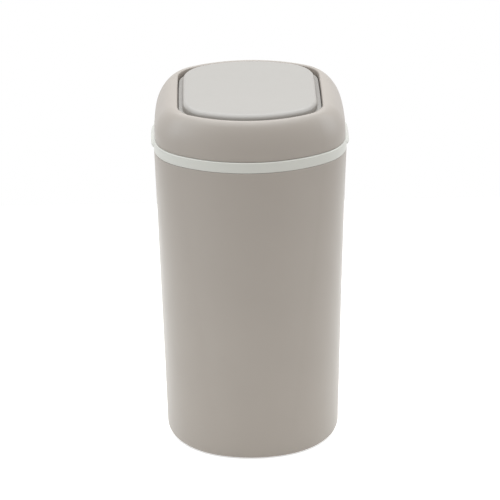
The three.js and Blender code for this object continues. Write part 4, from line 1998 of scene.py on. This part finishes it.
@dataclass(frozen=True)
class Studio:
    """The pale floor, the white surroundings, the lamps and the camera.

    Attributes:
        fill: Strength of the surroundings' light on matt surfaces.
        floor_half: Half of the floor's width.
        floor_colour: The floor's written colour.
        floor_lift: Light added to the floor where the camera sees it.
        camera: The photograph's camera.
        lamps: The softboxes.
    """

    fill: float = 0.42
    floor_half: float = 0.75
    floor_colour: str = "dfdcd7"
    floor_lift: float = 0.6
    camera: ViewingAngle = ViewingAngle()
    lamps: tuple[Softbox, ...] = (
        Softbox("overhead", (0.0, 0.0, 2.3), (0.0, 0.0, 0.4), 4.0, 101.0, (0.93, 1.0, 1.06)),
        Softbox("left_side", (-1.8, -0.5, 0.8), (0.0, 0.0, 0.2), 1.4, 11.5, (0.9, 1.0, 1.1)),
        Softbox("right_side", (1.8, 0.0, 0.8), (0.0, 0.0, 0.2), 1.4, 10.5, (0.92, 1.0, 1.08)),
    )

    def set_up(self) -> None:
        """Builds the studio."""
        bpy.context.scene.view_settings.view_transform = "Standard"
        self.surroundings()
        self.floor()
        for lamp in self.lamps:
            lamp.hang()
        self.camera.set_up()

    @staticmethod
    def seen_directly(bench: NodeBench) -> Signal:
        """Tells rays that show the background from rays that light a matt surface.

        Args:
            bench: The bench of the material's or the world's nodes.

        Returns:
            1 for rays from the camera, a gloss or a clear surface, and 0 for others.
        """
        kinds = ("Is Camera Ray", "Is Glossy Ray", "Is Transmission Ray")
        camera, glossy, clear = (bench.add("ShaderNodeLightPath", out=kind) for kind in kinds)
        return camera.at_least(glossy).at_least(clear)

    def surroundings(self) -> None:
        """White surroundings that light matt surfaces at the level of the fill."""
        world = bpy.data.worlds.new("studio")
        world.use_nodes = True
        bench = NodeBench(world.node_tree)
        seen = self.seen_directly(bench)
        strength = self.fill + seen * (1.0 - self.fill)
        white = {"Color": (1.0, 1.0, 1.0, 1.0), "Strength": strength}
        glow = bench.add("ShaderNodeBackground", sockets=white)
        bench.add("ShaderNodeOutputWorld", sockets={"Surface": glow})
        bpy.context.scene.world = world

    def floor(self) -> None:
        """The pale floor, which lets a look from below pass."""
        half = self.floor_half
        corners = np.array([[-half, -half, 0], [half, -half, 0], [half, half, 0], [-half, half, 0]])
        mesh = bpy.data.meshes.new("studio_floor")
        mesh.from_pydata(corners, [], [(0, 1, 2, 3)])
        floor = bpy.data.objects.new("studio_floor", mesh)
        bpy.context.scene.collection.objects.link(floor)
        made = bpy.data.materials.new("studio_floor")
        made.use_nodes = True
        bench = NodeBench(made.node_tree)
        matt = bench.add("ShaderNodeBsdfDiffuse", sockets={"Color": linear(self.floor_colour)})
        lift = self.seen_directly(bench) * self.floor_lift
        glow = bench.add("ShaderNodeEmission", sockets={"Strength": lift})
        lit = bench.add("ShaderNodeAddShader", sockets={0: matt, 1: glow})
        clear = bench.add("ShaderNodeBsdfTransparent")
        below = bench.add("ShaderNodeNewGeometry", out="Backfacing")
        mixed = bench.add("ShaderNodeMixShader", sockets={0: below, 1: lit, 2: clear})
        bench.add("ShaderNodeOutputMaterial", sockets={"Surface": mixed})
        mesh.materials.append(made)


def main() -> None:
    logging.basicConfig(level=logging.INFO, format="%(message)s")
    pivot = Vector(joint_named("flap_swing")["pos_m"])
    tub, ring, cap, flap = Tub(), BagRing(), Cap(), Flap()
    tub.build()
    ring.build(tub)
    cap.build(ring, tub, flap, pivot)
    flap.build(pivot)
    Studio().set_up()


if __name__ == "__main__":
    main()
